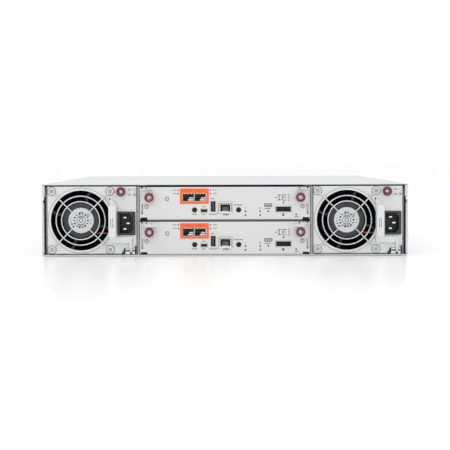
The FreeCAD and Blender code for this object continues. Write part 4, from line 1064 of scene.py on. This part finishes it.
# ------------------------------------------------------------------ power modules
@dataclass
class PowerModule:
    """One power module: wire guard, fan label and leads, lamps, inlet contacts and its handle's marks.

    Attributes:
        body: The body that carries it.
        ring_radii: Radii of the guard's rings.
        wire: Radius of the guard's wire.
        hole_spacing: Spacing of the guard's screws.
        label_radius: Radius of the label on the stator.
        stator_radius: Radius of the stator plate.
        stator_recess: How far the stator plate lies behind the face.
        rim_height: How far the opening's rim stands in front of the face.
        grip_depth: How far the handle's grip stands in front of the face.
        lead: Radius of a fan lead.
        label_marks: Dark marks round the fan's label.
    """

    body: str
    ring_radii: tuple[float, float] = (29.9, 23.2)
    wire: float = 0.8
    hole_spacing: float = 71.5
    label_radius: float = 15.5
    stator_radius: float = 21.8
    stator_recess: float = 2.0
    rim_height: float = 1.0
    grip_depth: float = 17.5
    lead: float = 0.65
    label_marks: int = 14
    axis: Vector = field(init=False)
    face: float = field(init=False)

    def __post_init__(self) -> None:
        """Read the fan's axis and the face from the model."""
        self.axis = middle_of(self.body + "_fan_guard")[2]
        self.face = middle_of(self.body + "_case")[0].y + self.rim_height

    def at(self, dx: float, dz: float, depth: float = 0.0) -> Point:
        """Return a point from the fan's axis, this far behind the face."""
        return (self.axis.x + dx, self.face + depth, self.axis.z + dz)

    def guard(self) -> None:
        """Bend the guard's rings and legs, with an eye and a screw at each corner."""
        piece = Piece(self.body + "_wire_guard", WIRE, SCREW)
        for radius in self.ring_radii:
            profile = [(radius + self.wire * math.cos(a * math.pi / 6), self.wire * math.sin(a * math.pi / 6))
                       for a in range(13)]
            piece.add(turned(profile, self.at(0, 0, -3.0), Axis.Y, steps=96))
        reach = self.hole_spacing / math.sqrt(2)
        for turn in range(4):
            spin = Matrix.Translation(self.at(0, 0)) @ Matrix.Rotation(math.radians(45 + 90 * turn), 4, "Y")
            line = [(15.4, -4.2, 0), (20, -4.2, 0), (37.6, -4.2, 0), (39.7, -4.0, 0), (42.7, -1.2, 0),
                    (44.4, -0.9, 0), (reach - 3.4, -0.9, 0)]
            piece.add(rod(line, self.wire), 0, spin)
            eye = turned([(2.0, 0.0), (4.6, 0.0), (4.6, 1.3), (4.3, 1.7), (2.3, 1.7), (2.0, 1.4), (2.0, 0.0)],
                         (0, 0, 0), Axis.Z, steps=32)
            piece.add(eye, 0, spin @ Matrix.Translation((reach, 0, 0)) @ _turn(Axis.Y))
        half = self.hole_spacing / 2
        corners = [self.at(sx * half, sz * half, -1.7) for sx in (-1, 1) for sz in (-1, 1)]
        CrossScrew().on(piece, corners, 1)
        shank = [(0.0, 0.1), (1.8, 0.1), (1.8, -8.6), (1.4, -9.0), (0.0, -9.0)]
        for corner in corners:
            piece.add(turned(shank, corner, Axis.Y, 16), 1)
        piece.put_on(self.body, self.body + "_fan_guard")

    def stator(self) -> None:
        """Lay the grey ring and the printed label on the stator plate."""
        front = self.stator_recess
        piece = Piece(self.body + "_stator_cover", STATOR)
        piece.add(turned([(15.9, -0.05), (self.stator_radius - 0.1, -0.05), (self.stator_radius - 0.1, 0.1),
                          (self.stator_radius - 0.5, 0.25), (16.4, 0.25), (15.9, 0.1), (15.9, -0.05)],
                         self.at(0, 0, front), Axis.Y, 64))
        for turn in range(8):
            angle = math.radians(22.5 + 45 * turn)
            spin = Matrix.Translation(self.at(0, 0, front)) @ Matrix.Rotation(angle, 4, "Y")
            piece.add(slab((17.2, -0.32, -0.35), (20.6, -0.2, 0.35), 0.04), 0, spin)
        piece.put_on(self.body)
        label = Piece(self.body + "_fan_label", LABEL, INK_AND_SHADE, BLACK_INK)
        top = front - 0.6
        label.add(turned([(0.0, 0.0), (self.label_radius, 0.0), (self.label_radius, 0.1), (0.0, 0.12)],
                         self.at(0, 0, top), Axis.Y, 64))
        marker = Print(self.face + top - 0.12)
        x, z = self.axis.x, self.axis.z
        for row, lengths in ((5.4, (2.2, 1.4, 2.6)), (3.6, (3.0, 2.0, 1.2)), (-4.9, (2.4, 1.0, 3.1)),
                             (-6.6, (1.6, 2.8, 1.9, 1.2)), (-8.4, (2.9, 1.2, 2.6))):
            start = -sum(lengths) / 2 - marker.gap * (len(lengths) - 1) / 2
            marker.dashes(label, x + start, z + row, lengths, 0.7, finish=1)
        marker.stamp(label, Mark.RING, x, z, 5.4, 0.8, 1)
        marker.stamp(label, Mark.RING, x + 8.6, z + 6.4, 3.4, 0.6, 1)
        for turn in range(self.label_marks):
            angle = 2 * math.pi * turn / self.label_marks
            across, up = math.cos(angle), math.sin(angle)
            marker.stamp(label, Mark.BAR, x + 8.4 * across, z + 8.4 * up, 2.0, 2.0 - 0.8 * (turn % 2), 2)
            marker.stamp(label, Mark.BAR, x + 5.2 * across, z + 5.2 * up, 1.2, 1.3, 1)
        for dx, dz, size in ((-12.2, -1.6, 1.3), (-11.2, -4.4, 2.0), (-9.2, -7.6, 2.2), (11.4, -3.0, 1.3),
                             (-12.6, 2.0, 1.0), (12.2, 0.4, 1.1)):
            marker.stamp(label, Mark.BAR, x + dx, z + dz, size, size * 0.8, 2)
        for dx in (-1.6, 0.0, 1.6):
            marker.stamp(label, Mark.BAR, x + dx, z + 9.6, 0.9, 1.8, 2)
        label.put_on(self.body)

    def shadow_lines(self) -> None:
        """Paint shade lines round the opening's rim and the screws' dimples, a shade spot in the hole above
        the handle, and near-black shade in the latch's slot and the seam under the module.
        """
        piece = Piece(self.body + "_shadow_lines", INK_AND_SHADE, BLACK_AND_SHADE)
        marker = Print(self.face, 0.05)
        x, z = self.axis.x, self.axis.z
        # painted shade line round the opening's rim
        marker.stamp(piece, Mark.RING, x, z, 80.0, 0.35, 0)
        half = self.hole_spacing / 2
        # painted shade rings round the screws' dimples
        for side_x in (-1, 1):
            for side_z in (-1, 1):
                marker.stamp(piece, Mark.RING, x + side_x * half, z + side_z * half, 11.2, 0.5, 0)
        # painted shade spot in the hole above the handle
        marker.stamp(piece, Mark.DOT, x + 35.2, z + 25.9, 2.2, 0.0, 1)
        # near-black painted shade in the latch's slot
        front, back = self.face - 1.0, self.face + 0.04
        for start, end, low, high in ((51.4, 59.7, 5.7, 7.1), (62.6, 67.4, 5.7, 7.1), (51.8, 53.8, 3.2, 5.7),
                                      (66.0, 67.6, 2.4, 12.4), (49.8, 51.6, 2.6, 4.6)):
            piece.add(slab((x + start, front, low), (x + end, back, high)), 1)
        # near-black painted shadow in the seam under the module
        low, high, _ = middle_of(self.body + "_case")
        piece.add(slab((low.x + 1.0, self.face + 0.5, 1.52),
                       (high.x - 1.0, self.face + 1.1, low.z + 0.35)), 1)
        piece.put_on(self.body)

    def leads(self) -> None:
        """Lead the fan's two wires from the stator to the duct."""
        piece = Piece(self.body + "_fan_leads", RED_LEAD, YELLOW_LEAD)
        depth = self.stator_recess + 1.6
        for finish, start, end in ((0, -0.5, 1.0), (1, 1.0, -0.5)):
            line = [self.at(14.6, -15.4, depth + start), self.at(18.5, -15.9, depth + start - 0.3),
                    self.at(22.5, -16.0 + start / 2, depth), self.at(27.0, -15.9, depth + end - 0.3),
                    self.at(30.5, -15.8, depth + end), self.at(33.9, -15.9, depth + 1.6 + end / 2)]
            piece.add(rod(line, self.lead), finish)
        piece.put_on(self.body)

    def lamps(self) -> None:
        """Set the two lamps in their holes, with their small marks."""
        piece = Piece(self.body + "_lamps", GREEN_LENS, AMBER_LENS, INK_AND_SHADE)
        marker = Print(self.face)
        for number, dz in enumerate((37.5, 31.5)):
            piece.add(turned([(0.0, -2.4), (1.8, -2.4), (1.8, 0.0), (1.55, 0.4), (1.0, 0.7), (0.0, 0.8)],
                             self.at(65.6, dz), Axis.Y, 32), number)
            x, z = self.axis.x + 59.4, self.axis.z + dz
            marker.stamp(piece, Mark.BAR, x - 1.2, z, 0.5, 2.4, 2)
            marker.stamp(piece, Mark.BAR, x, z, 0.5, 2.4, 2)
            marker.stamp(piece, Mark.RING, x + 1.5, z, 1.9, 0.4, 2)
        piece.put_on(self.body)

    def inlet(self) -> None:
        """Sleeve the inlet's blades in metal."""
        low, _, middle = middle_of(self.body + "_mains_inlet")
        piece = Piece(self.body + "_inlet_contacts", CAP)
        floor = low.y + 16.0
        for dx, dz, extra in ((-2.0, -7.0, 0.0), (-2.0, 7.0, 0.0), (2.0, 0.0, 1.0)):
            x, z = middle.x + dx, middle.z + dz
            near, far = floor - 13.08 - extra, floor + 0.4
            piece.add(slab((x - 2.08, near, z - 1.08), (x + 2.08, far, z + 1.08), 0.5))
        piece.put_on(self.body)

    def handle(self) -> None:
        """Rivet the handle and print its marks."""
        piece = Piece(self.body + "_lever_rivets", SHELL, INK_AND_SHADE)
        depth = self.grip_depth
        rivet = [(0.0, 0.0), (1.5, 0.0), (1.5, 0.25), (1.2, 0.5), (0.0, 0.6)]
        for dx, dz in ((38.5, 13.4), (39.4, -12.0)):
            piece.add(turned(rivet, self.at(dx, dz, -depth), Axis.Y, 24), 0)
        marker = Print(self.face - depth)
        for dx, lengths in ((38.0, (2.6, 1.4, 3.0, 2.2)), (40.4, (1.8, 2.6, 1.6, 2.4, 1.2))):
            marker.dashes(piece, self.axis.x + dx, self.axis.z - 8.0, lengths, 0.8, True, 1)
        piece.put_on(self.body + "_latch")

    def build(self) -> None:
        """Dress the module's nodes and add its pieces."""
        for part, finish in (("case", FACE), ("fan_frame", FAN), ("fan_rotor", ROTOR), ("mains_inlet", INLET),
                             ("lever", LEVER)):
            dress(f"{self.body}_{part}", finish)
        self.guard()
        self.stator()
        self.shadow_lines()
        self.leads()
        self.lamps()
        self.inlet()
        self.handle()
        Thumbscrew(self.body + "_thumbscrew", self.body + "_screw").build()


# ------------------------------------------------------------------ controllers
@dataclass
class ControllerModule:
    """One controller: port details, printing, lamps and screws on its face.

    Places are millimetres from the middle of the face's lower edge.

    Attributes:
        body: The body that carries it.
        tray_drop: Underside of the tray below the face's lower edge.
        half: Half of the face's width.
        slot: Middle of a lever's slot from the middle of the face.
        cages: Middles of the two transceiver cages in X.
        cage_level: Their height.
        jacks: Places of the audio jacks in X and Z.
        expansion: Middle of the expansion port.
        network: Middle of the network socket's opening.
        shows_tabs: True for the module whose levers' tabs show over its face.
    """

    body: str
    tray_drop: float = 0.4
    half: float = 103.9
    slot: float = 101.3
    cages: tuple[float, float] = (-44.7, -30.2)
    cage_level: float = 26.5
    jacks: tuple[tuple[float, float], tuple[float, float]] = ((-37.0, 11.2), (16.8, 11.2))
    expansion: tuple[float, float] = (71.6, 11.9)
    network: tuple[float, float] = (0.5, 13.5)
    shows_tabs: bool = False
    face: float = field(init=False)
    base: float = field(init=False)

    def __post_init__(self) -> None:
        """Read the face's place from the model."""
        low = middle_of(self.body + "_tray")[0]
        self.face = low.y
        self.base = low.z + self.tray_drop

    def at(self, x: float, z: float, depth: float = 0.0) -> Point:
        """Return a point of the module, this far behind its face."""
        return (x, self.face + depth, self.base + z)

    def fill(self, piece: Piece, x: float, z: float, width: float, height: float, front: float,
             back: float, finish: int = 0, edge: float = 0.0) -> None:
        """Add a block from its middle and size.

        Args:
            piece: The piece that takes it.
            x: Middle in X.
            z: Middle in Z.
            width: Its width.
            height: Its height.
            front: Depth of its near face.
            back: Depth of its far face.
            finish: The piece's finish for it.
            edge: Radius of its edges.
        """
        low = self.at(x - width / 2, z - height / 2, front)
        high = self.at(x + width / 2, z + height / 2, back)
        piece.add(slab(low, high, edge), finish)

    def transceiver_cages(self) -> None:
        """Fit each cage with its bright guides and its contact springs, and near-black blocks of painted
        shade inside it.
        """
        piece = Piece(self.body + "_cage_painted_shade", BLACK_AND_SHADE, SHELL, GOLD)
        z = self.cage_level
        for x in self.cages:
            # painted shade: near-black blocks at the cage's back and where its inside lies in shade
            self.fill(piece, x, z, 13.1, 9.1, 6.0, 9.0)
            self.fill(piece, x + 2.9, z - 3.1, 6.4, 1.9, 1.8, 5.9, 1, 0.2)
            self.fill(piece, x + 3.6, z - 0.6, 5.0, 1.6, 3.0, 5.9, 1, 0.15)
            self.fill(piece, x + 3.0, z + 1.2, 6.6, 2.6, 3.0, 5.9, 0, 0.1)
            self.fill(piece, x - 3.4, z - 3.5, 5.8, 1.9, 2.4, 5.9, 0, 0.1)
            self.fill(piece, x - 3.4, z + 1.1, 5.8, 5.4, 2.4, 5.9, 0, 0.1)
            for offset in (-3.9, 0.1, 4.0):
                self.fill(piece, x + offset, z + 4.1, 1.5, 0.8, 0.3, 5.9, 2, 0.15)
        piece.put_on(self.body)

    def cage_frame(self) -> None:
        """Lay the orange frame round the cages, with its header's marks and the link lamps."""
        piece = Piece(self.body + "_cage_frame", ORANGE, ORANGE_DARK, BLACK_INK, INK_AND_SHADE)
        front, z = self.face - 0.3, self.base
        outer = (-54.8, -19.6, z + 18.6, z + 37.4)
        inner = (-52.0, -22.4, z + 21.2, z + 32.0)
        piece.add(window_frame(outer, inner, front, front + 0.29))
        header = Print(self.face - 0.32, 0.03)
        for start, lengths in ((-50.6, (1.4, 0.9, 1.3, 1.1, 1.5, 0.7)),
                               (-34.6, (1.2, 1.0, 1.4, 0.9, 1.3, 1.0))):
            header.dashes(piece, start, z + 34.9, lengths, 1.3, finish=1)
        marker = Print(self.face)
        for row in (35.3, 31.0):
            for place in (-56.9, -17.7):
                marker.stamp(piece, Mark.BAR, place, z + row, 1.5, 1.6, 2)
            marker.dashes(piece, -63.6, z + row + 0.2, (0.9, 0.7, 1.0, 0.6), 1.0, finish=3)
            marker.dashes(piece, -14.6, z + row + 0.2, (0.9, 0.7, 1.0, 0.6), 1.0, finish=3)
        piece.put_on(self.body)

    def small_sockets(self) -> None:
        """Fit the jacks with their black fronts, the mini port and the host port, with painted shade in the
        jacks' bores and the ports' openings.
        """
        piece = Piece(self.body + "_small_sockets", SOCKET, BLACK_AND_SHADE, SHELL)
        collar = [(1.5, 0.0), (3.0, 0.0), (3.0, 0.12), (2.7, 0.24), (1.7, 0.24), (1.5, 0.1), (1.5, 0.0)]
        bottom = [(0.0, 0.0), (1.75, 0.0), (1.75, 0.3), (0.0, 0.3)]
        for x, z in self.jacks:
            piece.add(turned(collar, self.at(x, z, -0.61), Axis.Y, 32), 1)
            # painted shade at the bottom of the jack's bore
            piece.add(turned(bottom, self.at(x, z, 0.6), Axis.Y, 20), 1)
            self.fill(piece, x - 1.0, z + 0.9, 0.5, 0.4, -0.2, 0.5, 2, 0.1)
        x, z = -25.5, 10.3
        level = self.base + z
        outline = [(x - 2.4, level - 1.7), (x + 2.4, level - 1.7), (x + 3.7, level - 0.3),
                   (x + 3.7, level + 1.7), (x - 3.7, level + 1.7), (x - 3.7, level - 0.3)]
        # painted shade inside the mini port
        piece.add(plate(outline, self.face + 0.5, self.face + 3.0), 1)
        self.fill(piece, x, z + 0.2, 4.6, 0.7, -0.2, 2.0, 0, 0.1)
        x, z = -14.3, 15.4
        # painted shade at the back of the host port
        self.fill(piece, x, z, 5.5, 12.5, 3.0, 5.0, 1)
        self.fill(piece, x - 0.7, z, 2.0, 10.6, 0.2, 2.9, 0, 0.15)
        for level in (-3.6, -1.2, 1.2, 3.6):
            self.fill(piece, x + 0.42, z + level, 0.24, 1.3, 0.5, 2.8, 2)
        piece.put_on(self.body)

    def network_socket(self) -> None:
        """Fit the network socket with its stepped opening, tongue and the shield's springs, and painted shade
        at the back of the opening.
        """
        piece = Piece(self.body + "_network_insides", BLACK_AND_SHADE, SOCKET, GOLD, BLACK_INK, SHELL, NET)
        x, z = self.network
        # painted shade at the back of the opening
        self.fill(piece, x, z, 12.1, 8.7, 5.0, 8.0)
        self.fill(piece, x, z - 0.3, 8.2, 5.6, 3.2, 4.9, 5, 0.3)
        for side in (-1, 1):
            self.fill(piece, x + side * 5.05, z - 3.3, 2.0, 2.1, 0.1, 4.9, 1, 0.15)
            self.fill(piece, x + side * 5.6, z + 2.6, 0.9, 3.4, 0.1, 4.9, 1, 0.15)
        self.fill(piece, x, z - 3.9, 8.0, 0.8, 0.1, 4.9, 4, 0.1)
        self.fill(piece, x, z + 1.6, 10.0, 1.2, 2.0, 4.9, 1, 0.15)
        for number in range(8):
            self.fill(piece, x - 3.5 + number, z + 2.0, 0.35, 0.5, 2.8, 4.9, 2)
        marker = Print(self.face - 0.6, 0.05)
        low = self.base + z
        for number in range(6):
            marker.stamp(piece, Mark.BAR, x - 6.6 + 2.64 * number, low + 5.5, 1.7, 1.0, 3)
        for side in (-1, 1):
            for number in range(4):
                marker.stamp(piece, Mark.BAR, x + side * 7.7, low - 3.6 + 2.4 * number, 1.0, 1.4, 3)
        piece.put_on(self.body)

    def expansion_socket(self) -> None:
        """Fit the expansion port with its contact rows and painted shade in its slot."""
        piece = Piece(self.body + "_expansion_insides", BLACK_AND_SHADE, SOCKET, NET)
        x, z = self.expansion
        # painted shade in the slot round the tongue
        self.fill(piece, x, z - 1.85, 18.6, 2.4, 2.6, 7.0)
        self.fill(piece, x, z + 1.85, 18.6, 2.4, 2.6, 7.0)
        self.fill(piece, x, z, 18.6, 1.3, 2.6, 3.9)
        self.fill(piece, x + 0.4, z, 15.4, 0.5, 1.4, 2.5, 1, 0.1)
        for side in (-1, 1):
            self.fill(piece, x + side * 8.6, z, 1.0, 4.4, 0.4, 2.5, 2, 0.2)
        for number in range(12):
            self.fill(piece, x - 6.6 + 1.2 * number, z + 0.4, 0.3, 0.25, 2.2, 2.5, 1)
        piece.put_on(self.body)

    def printing(self) -> None:
        """Print the marks that stand in for the face's small lettering and icons."""
        piece = Piece(self.body + "_printing", INK_AND_SHADE, BLACK_INK)
        marker = Print(self.face)
        z = self.base
        words = ((-40.0, 5.9, (1.2, 0.8, 1.4, 0.9)), (-28.6, 5.9, (1.1, 0.9, 1.3)),
                 (-19.2, 5.9, (1.3, 1.0, 1.2, 0.8, 1.4, 1.0)), (11.0, 17.2, (1.4, 1.0, 1.6, 1.2, 1.4, 1.5)),
                 (-17.2, 25.0, (1.6, 0.7, 1.2)), (-27.6, 15.3, (1.4, 0.7, 1.0)), (-9.6, 7.0, (1.3, 0.8)),
                 (48.6, 12.6, (1.5, 1.1, 1.8, 1.3)), (85.0, 2.6, (1.5, 1.0, 1.4)), (41.4, 13.3, (1.4, 1.2)))
        for x, level, lengths in words:
            marker.dashes(piece, x, z + level, lengths, 1.1)
        for x, level in ((25.1, 9.4), (43.1, 9.4), (53.0, 9.4), (71.5, 19.9), (87.1, 5.4)):
            marker.stamp(piece, Mark.DOT, x, z + level, 2.1, 0.0, 1)
        for x, level in ((25.1, 4.6), (43.1, 4.6)):
            marker.stamp(piece, Mark.BAR, x, z + level, 1.5, 2.3, 1)
        marker.stamp(piece, Mark.BAR, 71.3, z + 5.0, 2.7, 2.6, 0)
        for row in (18.6, 16.6, 15.0):
            marker.stamp(piece, Mark.BAR, 53.0, z + row, 9.2, 0.7, 0)
        for x in (48.6, 51.6, 54.6, 57.4):
            marker.stamp(piece, Mark.BAR, x, z + 16.8, 0.9, 3.8, 0)
        strokes = ((62.8, 26.2, 3.6, 0.8), (66.6, 26.2, 0.8, 6.4), (66.6, 29.2, 4.6, 0.8),
                   (66.6, 23.2, 4.6, 0.8), (70.6, 27.6, 0.9, 3.8), (70.6, 24.6, 0.9, 3.0),
                   (73.0, 29.4, 4.4, 0.8), (73.2, 26.4, 3.2, 0.8), (73.0, 22.8, 4.4, 0.8))
        for x, level, width, height in strokes:
            marker.stamp(piece, Mark.BAR, x, z + level, width, height, 0)
        for level in (29.8, 27.4, 25.0, 22.6):
            marker.stamp(piece, Mark.BAR, 78.2, z + level, 1.5, 1.1, 0)
        for x, turn in ((-1.6, -50), (0.2, 50), (2.0, -50), (3.8, 50)):
            spin = Matrix.Translation((x, self.face, z + 5.4)) @ Matrix.Rotation(math.radians(turn), 4, "Y")
            piece.add(slab((-1.4, -0.06, -0.45), (1.4, 0.06, 0.45)), 1, spin)
        spin = Matrix.Translation((25.0, self.face, z + 13.4)) @ Matrix.Rotation(math.radians(-40), 4, "Y")
        piece.add(slab((-1.2, -0.06, -0.25), (1.2, 0.06, 0.25)), 0, spin)
        piece.put_on(self.body)

    def fasteners(self) -> None:
        """Drive the face's screws, ring them with the painted shade of their dimples, and lay near-black
        spots of painted shade at its upper corners.
        """
        piece = Piece(self.body + "_face_screws", BLACK_AND_SHADE, SCREW_AND_DIMPLE_SHADE)
        screw = CrossScrew(radius=1.9, height=0.5, sunk=True)
        places = [self.at(-95.6, 15.2), self.at(94.8, 15.6), self.at(-70.6, 24.8)]
        screw.on(piece, places, 1)
        marker = Print(self.face)
        for x, _, z in places:
            # painted shade round each screw's dimple
            marker.stamp(piece, Mark.RING, x, z, 5.4, 0.9, 1)
        # near-black spots of painted shade at the upper corners
        for x, z in ((-95.6, 37.5), (91.2, 37.8)):
            self.fill(piece, x, z, 1.9, 1.4, -0.12, 0.1)
        piece.put_on(self.body)

    def lever_tabs(self) -> None:
        """Roll the levers' pale finger tabs over the face's upper corners, with a painted shadow line under
        each.
        """
        for side in Side:
            low = middle_of(f"{self.body}_lever_{side.word}")[0]
            front = low.y - 0.3
            piece = Piece(f"{self.body}_lever_tab_{side.word}", TAB, INK_AND_SHADE)
            x = side.value * 90.4
            piece.add(plate(rectangle(x, self.base + 34.7, 15.0, 3.2), front, low.y + 0.6, 1.2))
            # painted shadow line under the tab
            shadow_level = self.base + 32.6
            piece.add(slab((x - 6.2, front - 0.05, shadow_level), (x + 6.2, low.y + 0.1, shadow_level + 0.4)), 1)
            piece.put_on(f"{self.body}_latch_{side.word}")

    def shade_slots(self) -> None:
        """Paint the shade in the levers' slots and the corner notches with near-black sheets, with a painted
        shadow line on the face along each slot's inner edge.
        """
        piece = Piece(self.body + "_painted_slot_shade", BLACK_AND_SHADE)
        for side in (-1, 1):
            # painted shade behind each lever's slot and in each corner notch
            self.fill(piece, side * (self.slot + 1.15), 22.0, 1.1, 32.0, 1.25, 2.0)
            self.fill(piece, side * (self.half - 4.9), 1.05, 8.2, 2.9, 1.9, 2.19)
            # painted shadow line on the face along the slot's inner edge
            self.fill(piece, side * (self.slot - 0.85), 21.5, 0.6, 30.0, -0.06, 0.6)
        piece.put_on(self.body)

    def build(self) -> None:
        """Dress the module's nodes and add its pieces."""
        for part, finish in (("tray", FACE), ("ports", SHELL), ("lever_left", FACE), ("lever_right", FACE)):
            dress(f"{self.body}_{part}", finish)
        dress(self.body + "_board", BoardFinish(self.body + "_mask", "circuit_board", shade(22, 92, 56), 0.35,
                                                deck=self.base + 6.2))
        self.transceiver_cages()
        self.cage_frame()
        self.small_sockets()
        self.network_socket()
        self.expansion_socket()
        self.printing()
        self.fasteners()
        if self.shows_tabs:
            self.lever_tabs()
        self.shade_slots()
        for side in Side:
            Thumbscrew(f"{self.body}_thumbscrew_{side.word}", f"{self.body}_screw_{side.word}").build()


# ------------------------------------------------------------------ chassis and disks
@dataclass
class Chassis:
    """Sheet-metal chassis with its cover, bay frame, ears, guides and midplane.

    Attributes:
        body: The body of the fixed parts.
    """

    body: str = "chassis"

    def build(self) -> None:
        """Dress the fixed nodes and fasten the cover."""
        for node, finish in (("chassis_base", ZINC), ("top_cover", COVER), ("bay_frame", BAY_SHADE),
                             ("rack_ears", ZINC), ("disk_guides", TRAY), ("midplane_connectors", SOCKET)):
            dress(node, finish)
        dress("midplane_board", BoardFinish("midplane_mask", "circuit_board", shade(20, 84, 52), 0.35,
                                            deck=1000.0))
        self.cover_screws()
        self.shade_seams()

    def shade_seams(self) -> None:
        """Paint the shade in the seams round the modules: near-black sheets between the controllers and on
        the floor, with a grey strip over the shelf's edge between them.
        """
        rear = middle_of("chassis_base")[0].y
        reach = middle_of("controller_a_tray")[1].x - 0.2
        upper = middle_of("controller_a_tray")[0].z
        lower = middle_of("controller_b_tray")[1].z
        floor, notch = 1.52, 9.4
        piece = Piece("painted_seam_shade", SEAM_SHADOW, SHELF_SHADE)
        # painted shadow in the seam between the controllers
        piece.add(slab((-reach, rear + 1.0, lower + 0.08), (reach, rear + 3.2, lower + 1.55)))
        # painted shade: grey strip over the shelf's edge
        piece.add(slab((notch - reach, rear + 0.1, upper - 1.3), (reach - notch, rear + 0.38, upper - 0.06),
                       0.05), 1)
        # painted shadow at the seam's ends, beside the grey strip
        for side in (-1, 1):
            near, far = sorted((side * (reach - notch), side * reach))
            piece.add(slab((near, rear + 0.1, lower + 0.1), (far, rear + 0.38, upper - 0.06)))
        # painted shadow in the seam on the floor
        base = middle_of("controller_b_tray")[0].z
        piece.add(slab((-reach, rear + 1.0, floor), (reach, rear + 3.0, base - 0.05)))
        piece.put_on(self.body)

    def cover_screws(self) -> None:
        """Sink the cover's screws in its side flanges."""
        low, high, middle = middle_of("top_cover")
        piece = Piece("cover_screws", SCREW)
        screw = CrossScrew(radius=3.0, height=0.5, sunk=True)
        for y in (low.y + 60.0, middle.y, high.y - 60.0):
            screw.on(piece, [(high.x - 0.05, y, high.z - 9.0)], 0, Axis.X)
            place = Matrix.Translation((low.x + 0.05, y, high.z - 9.0))
            piece.add(screw.head(), 0, place @ Matrix.Rotation(-math.pi / 2, 4, "Y"))
        piece.put_on(self.body)


@dataclass
class DiskCarrier:
    """One disk on its carrier, with two lamps beside the lever.

    Attributes:
        number: Its number from the lower left of the disk side.
    """

    number: int

    @property
    def body(self) -> str:
        """The body that it rides on."""
        return f"disk_{self.number:02d}"

    def lamps(self) -> None:
        """Set the two lamps at the bezel's end."""
        low, high, _ = middle_of(self.body + "_carrier")
        piece = Piece(self.body + "_carrier_lamps", GREEN_LENS, AMBER_LENS)
        for number, rise in enumerate((4.0, 8.2)):
            piece.add(turned([(0.0, 0.6), (1.1, 0.6), (1.1, 0.0), (0.9, -0.2), (0.0, -0.3)],
                             (high.x - 3.4, high.y - 0.2, low.z + rise), Axis.Y, 20), number)
        piece.put_on(self.body)

    def build(self) -> None:
        """Dress the carrier and its lever, and set its lamps."""
        dress(self.body + "_carrier", TRAY)
        dress(self.body + "_lever", HANDLE)
        self.lamps()


# ------------------------------------------------------------------ studio
@dataclass
class Studio:
    """Plain pale floor, soft lamps and the camera that faces the service side.

    Attributes:
        lens: Focal length on a 36 mm sensor.
        distance: From the walls' rear edge to the camera, in metres.
        height: Height of the camera, in metres.
        pitch: How far it looks down, in degrees.
        roll: How far it is turned about its own line of sight, in degrees.
        rear: Y of the walls' rear edge, in metres.
        floor_reach: Half of the floor's side, in metres.
        floor_drop: How far the floor lies under the chassis, in metres.
    """

    rear: float
    lens: float = 104.7
    distance: float = 1.5967
    height: float = 0.1232
    pitch: float = 3.065
    roll: float = -0.159
    floor_reach: float = 12.0
    floor_drop: float = 0.0004

    def camera(self) -> None:
        """Stand the camera before the service side."""
        data = bpy.data.cameras.new("camera")
        data.lens = self.lens
        data.sensor_width = 36.0
        data.clip_end = 50.0
        camera = bpy.data.objects.new("camera", data)
        bpy.context.scene.collection.objects.link(camera)
        camera.location = (0.0001, self.rear - self.distance, self.height)
        aim = Matrix.Rotation(math.radians(90.0 - self.pitch), 4, "X")
        camera.rotation_euler = (aim @ Matrix.Rotation(math.radians(self.roll), 4, "Z")).to_euler()
        bpy.context.scene.camera = camera

    def floor(self) -> None:
        """Lay a pale floor with a faint gloss."""
        part = bmesh.new()
        bmesh.ops.create_grid(part, x_segments=8, y_segments=8, size=self.floor_reach)
        mesh = bpy.data.meshes.new("floor")
        part.to_mesh(mesh)
        part.free()
        mesh.materials.append(PALE_FLOOR.material())
        made = bpy.data.objects.new("floor", mesh)
        bpy.context.scene.collection.objects.link(made)
        made.location = (0.0, 0.0, -self.floor_drop)

    def lamp(self, name: str, place: Point, aim: Point, size: float, power: float) -> None:
        """Hang a soft square lamp.

        Args:
            name: The lamp's name.
            place: Where it hangs.
            aim: What it faces.
            size: Its side.
            power: Its power in watts.
        """
        data = bpy.data.lights.new(name, "AREA")
        data.size = size
        data.energy = power
        made = bpy.data.objects.new(name, data)
        bpy.context.scene.collection.objects.link(made)
        made.location = place
        made.rotation_euler = (Vector(aim) - Vector(place)).to_track_quat("-Z", "Y").to_euler()

    def build(self) -> None:
        """Light the set and stand the camera."""
        world = bpy.data.worlds.new("studio")
        world.use_nodes = True
        world.node_tree.nodes["Background"].inputs["Color"].default_value = (1.0, 1.0, 1.0, 1.0)
        world.node_tree.nodes["Background"].inputs["Strength"].default_value = 1.0
        bpy.context.scene.world = world
        bpy.context.scene.view_settings.view_transform = "Standard"
        self.floor()
        self.lamp("key", (-1.0, -1.35, 1.2), (-0.1, -0.3, 0.05), 2.0, 8.0)
        self.lamp("fill", (1.2, -1.4, 1.1), (0.15, -0.3, 0.05), 1.8, 4.0)
        self.lamp("top", (0.0, 0.2, 2.2), (0.0, 0.0, 0.0), 1.8, 2.0)
        self.camera()


def main() -> None:
    """Dress the enclosure, one sub-assembly after another."""
    logging.basicConfig(level=logging.INFO, format="%(name)s: %(message)s")
    for build in (build_sheet_grain, build_edge_wear, build_moulding):
        LOG.info("shader group %s", build().name)
    Chassis().build()
    for letter in ("a", "b"):
        PowerModule("power_" + letter).build()
    for letter in ("a", "b"):
        ControllerModule("controller_" + letter, shows_tabs=letter == "b").build()
    for number in range(1, 13):
        DiskCarrier(number).build()
    Studio(rear=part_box("chassis_base")[0].y).build()


if __name__ == "__main__":
    main()
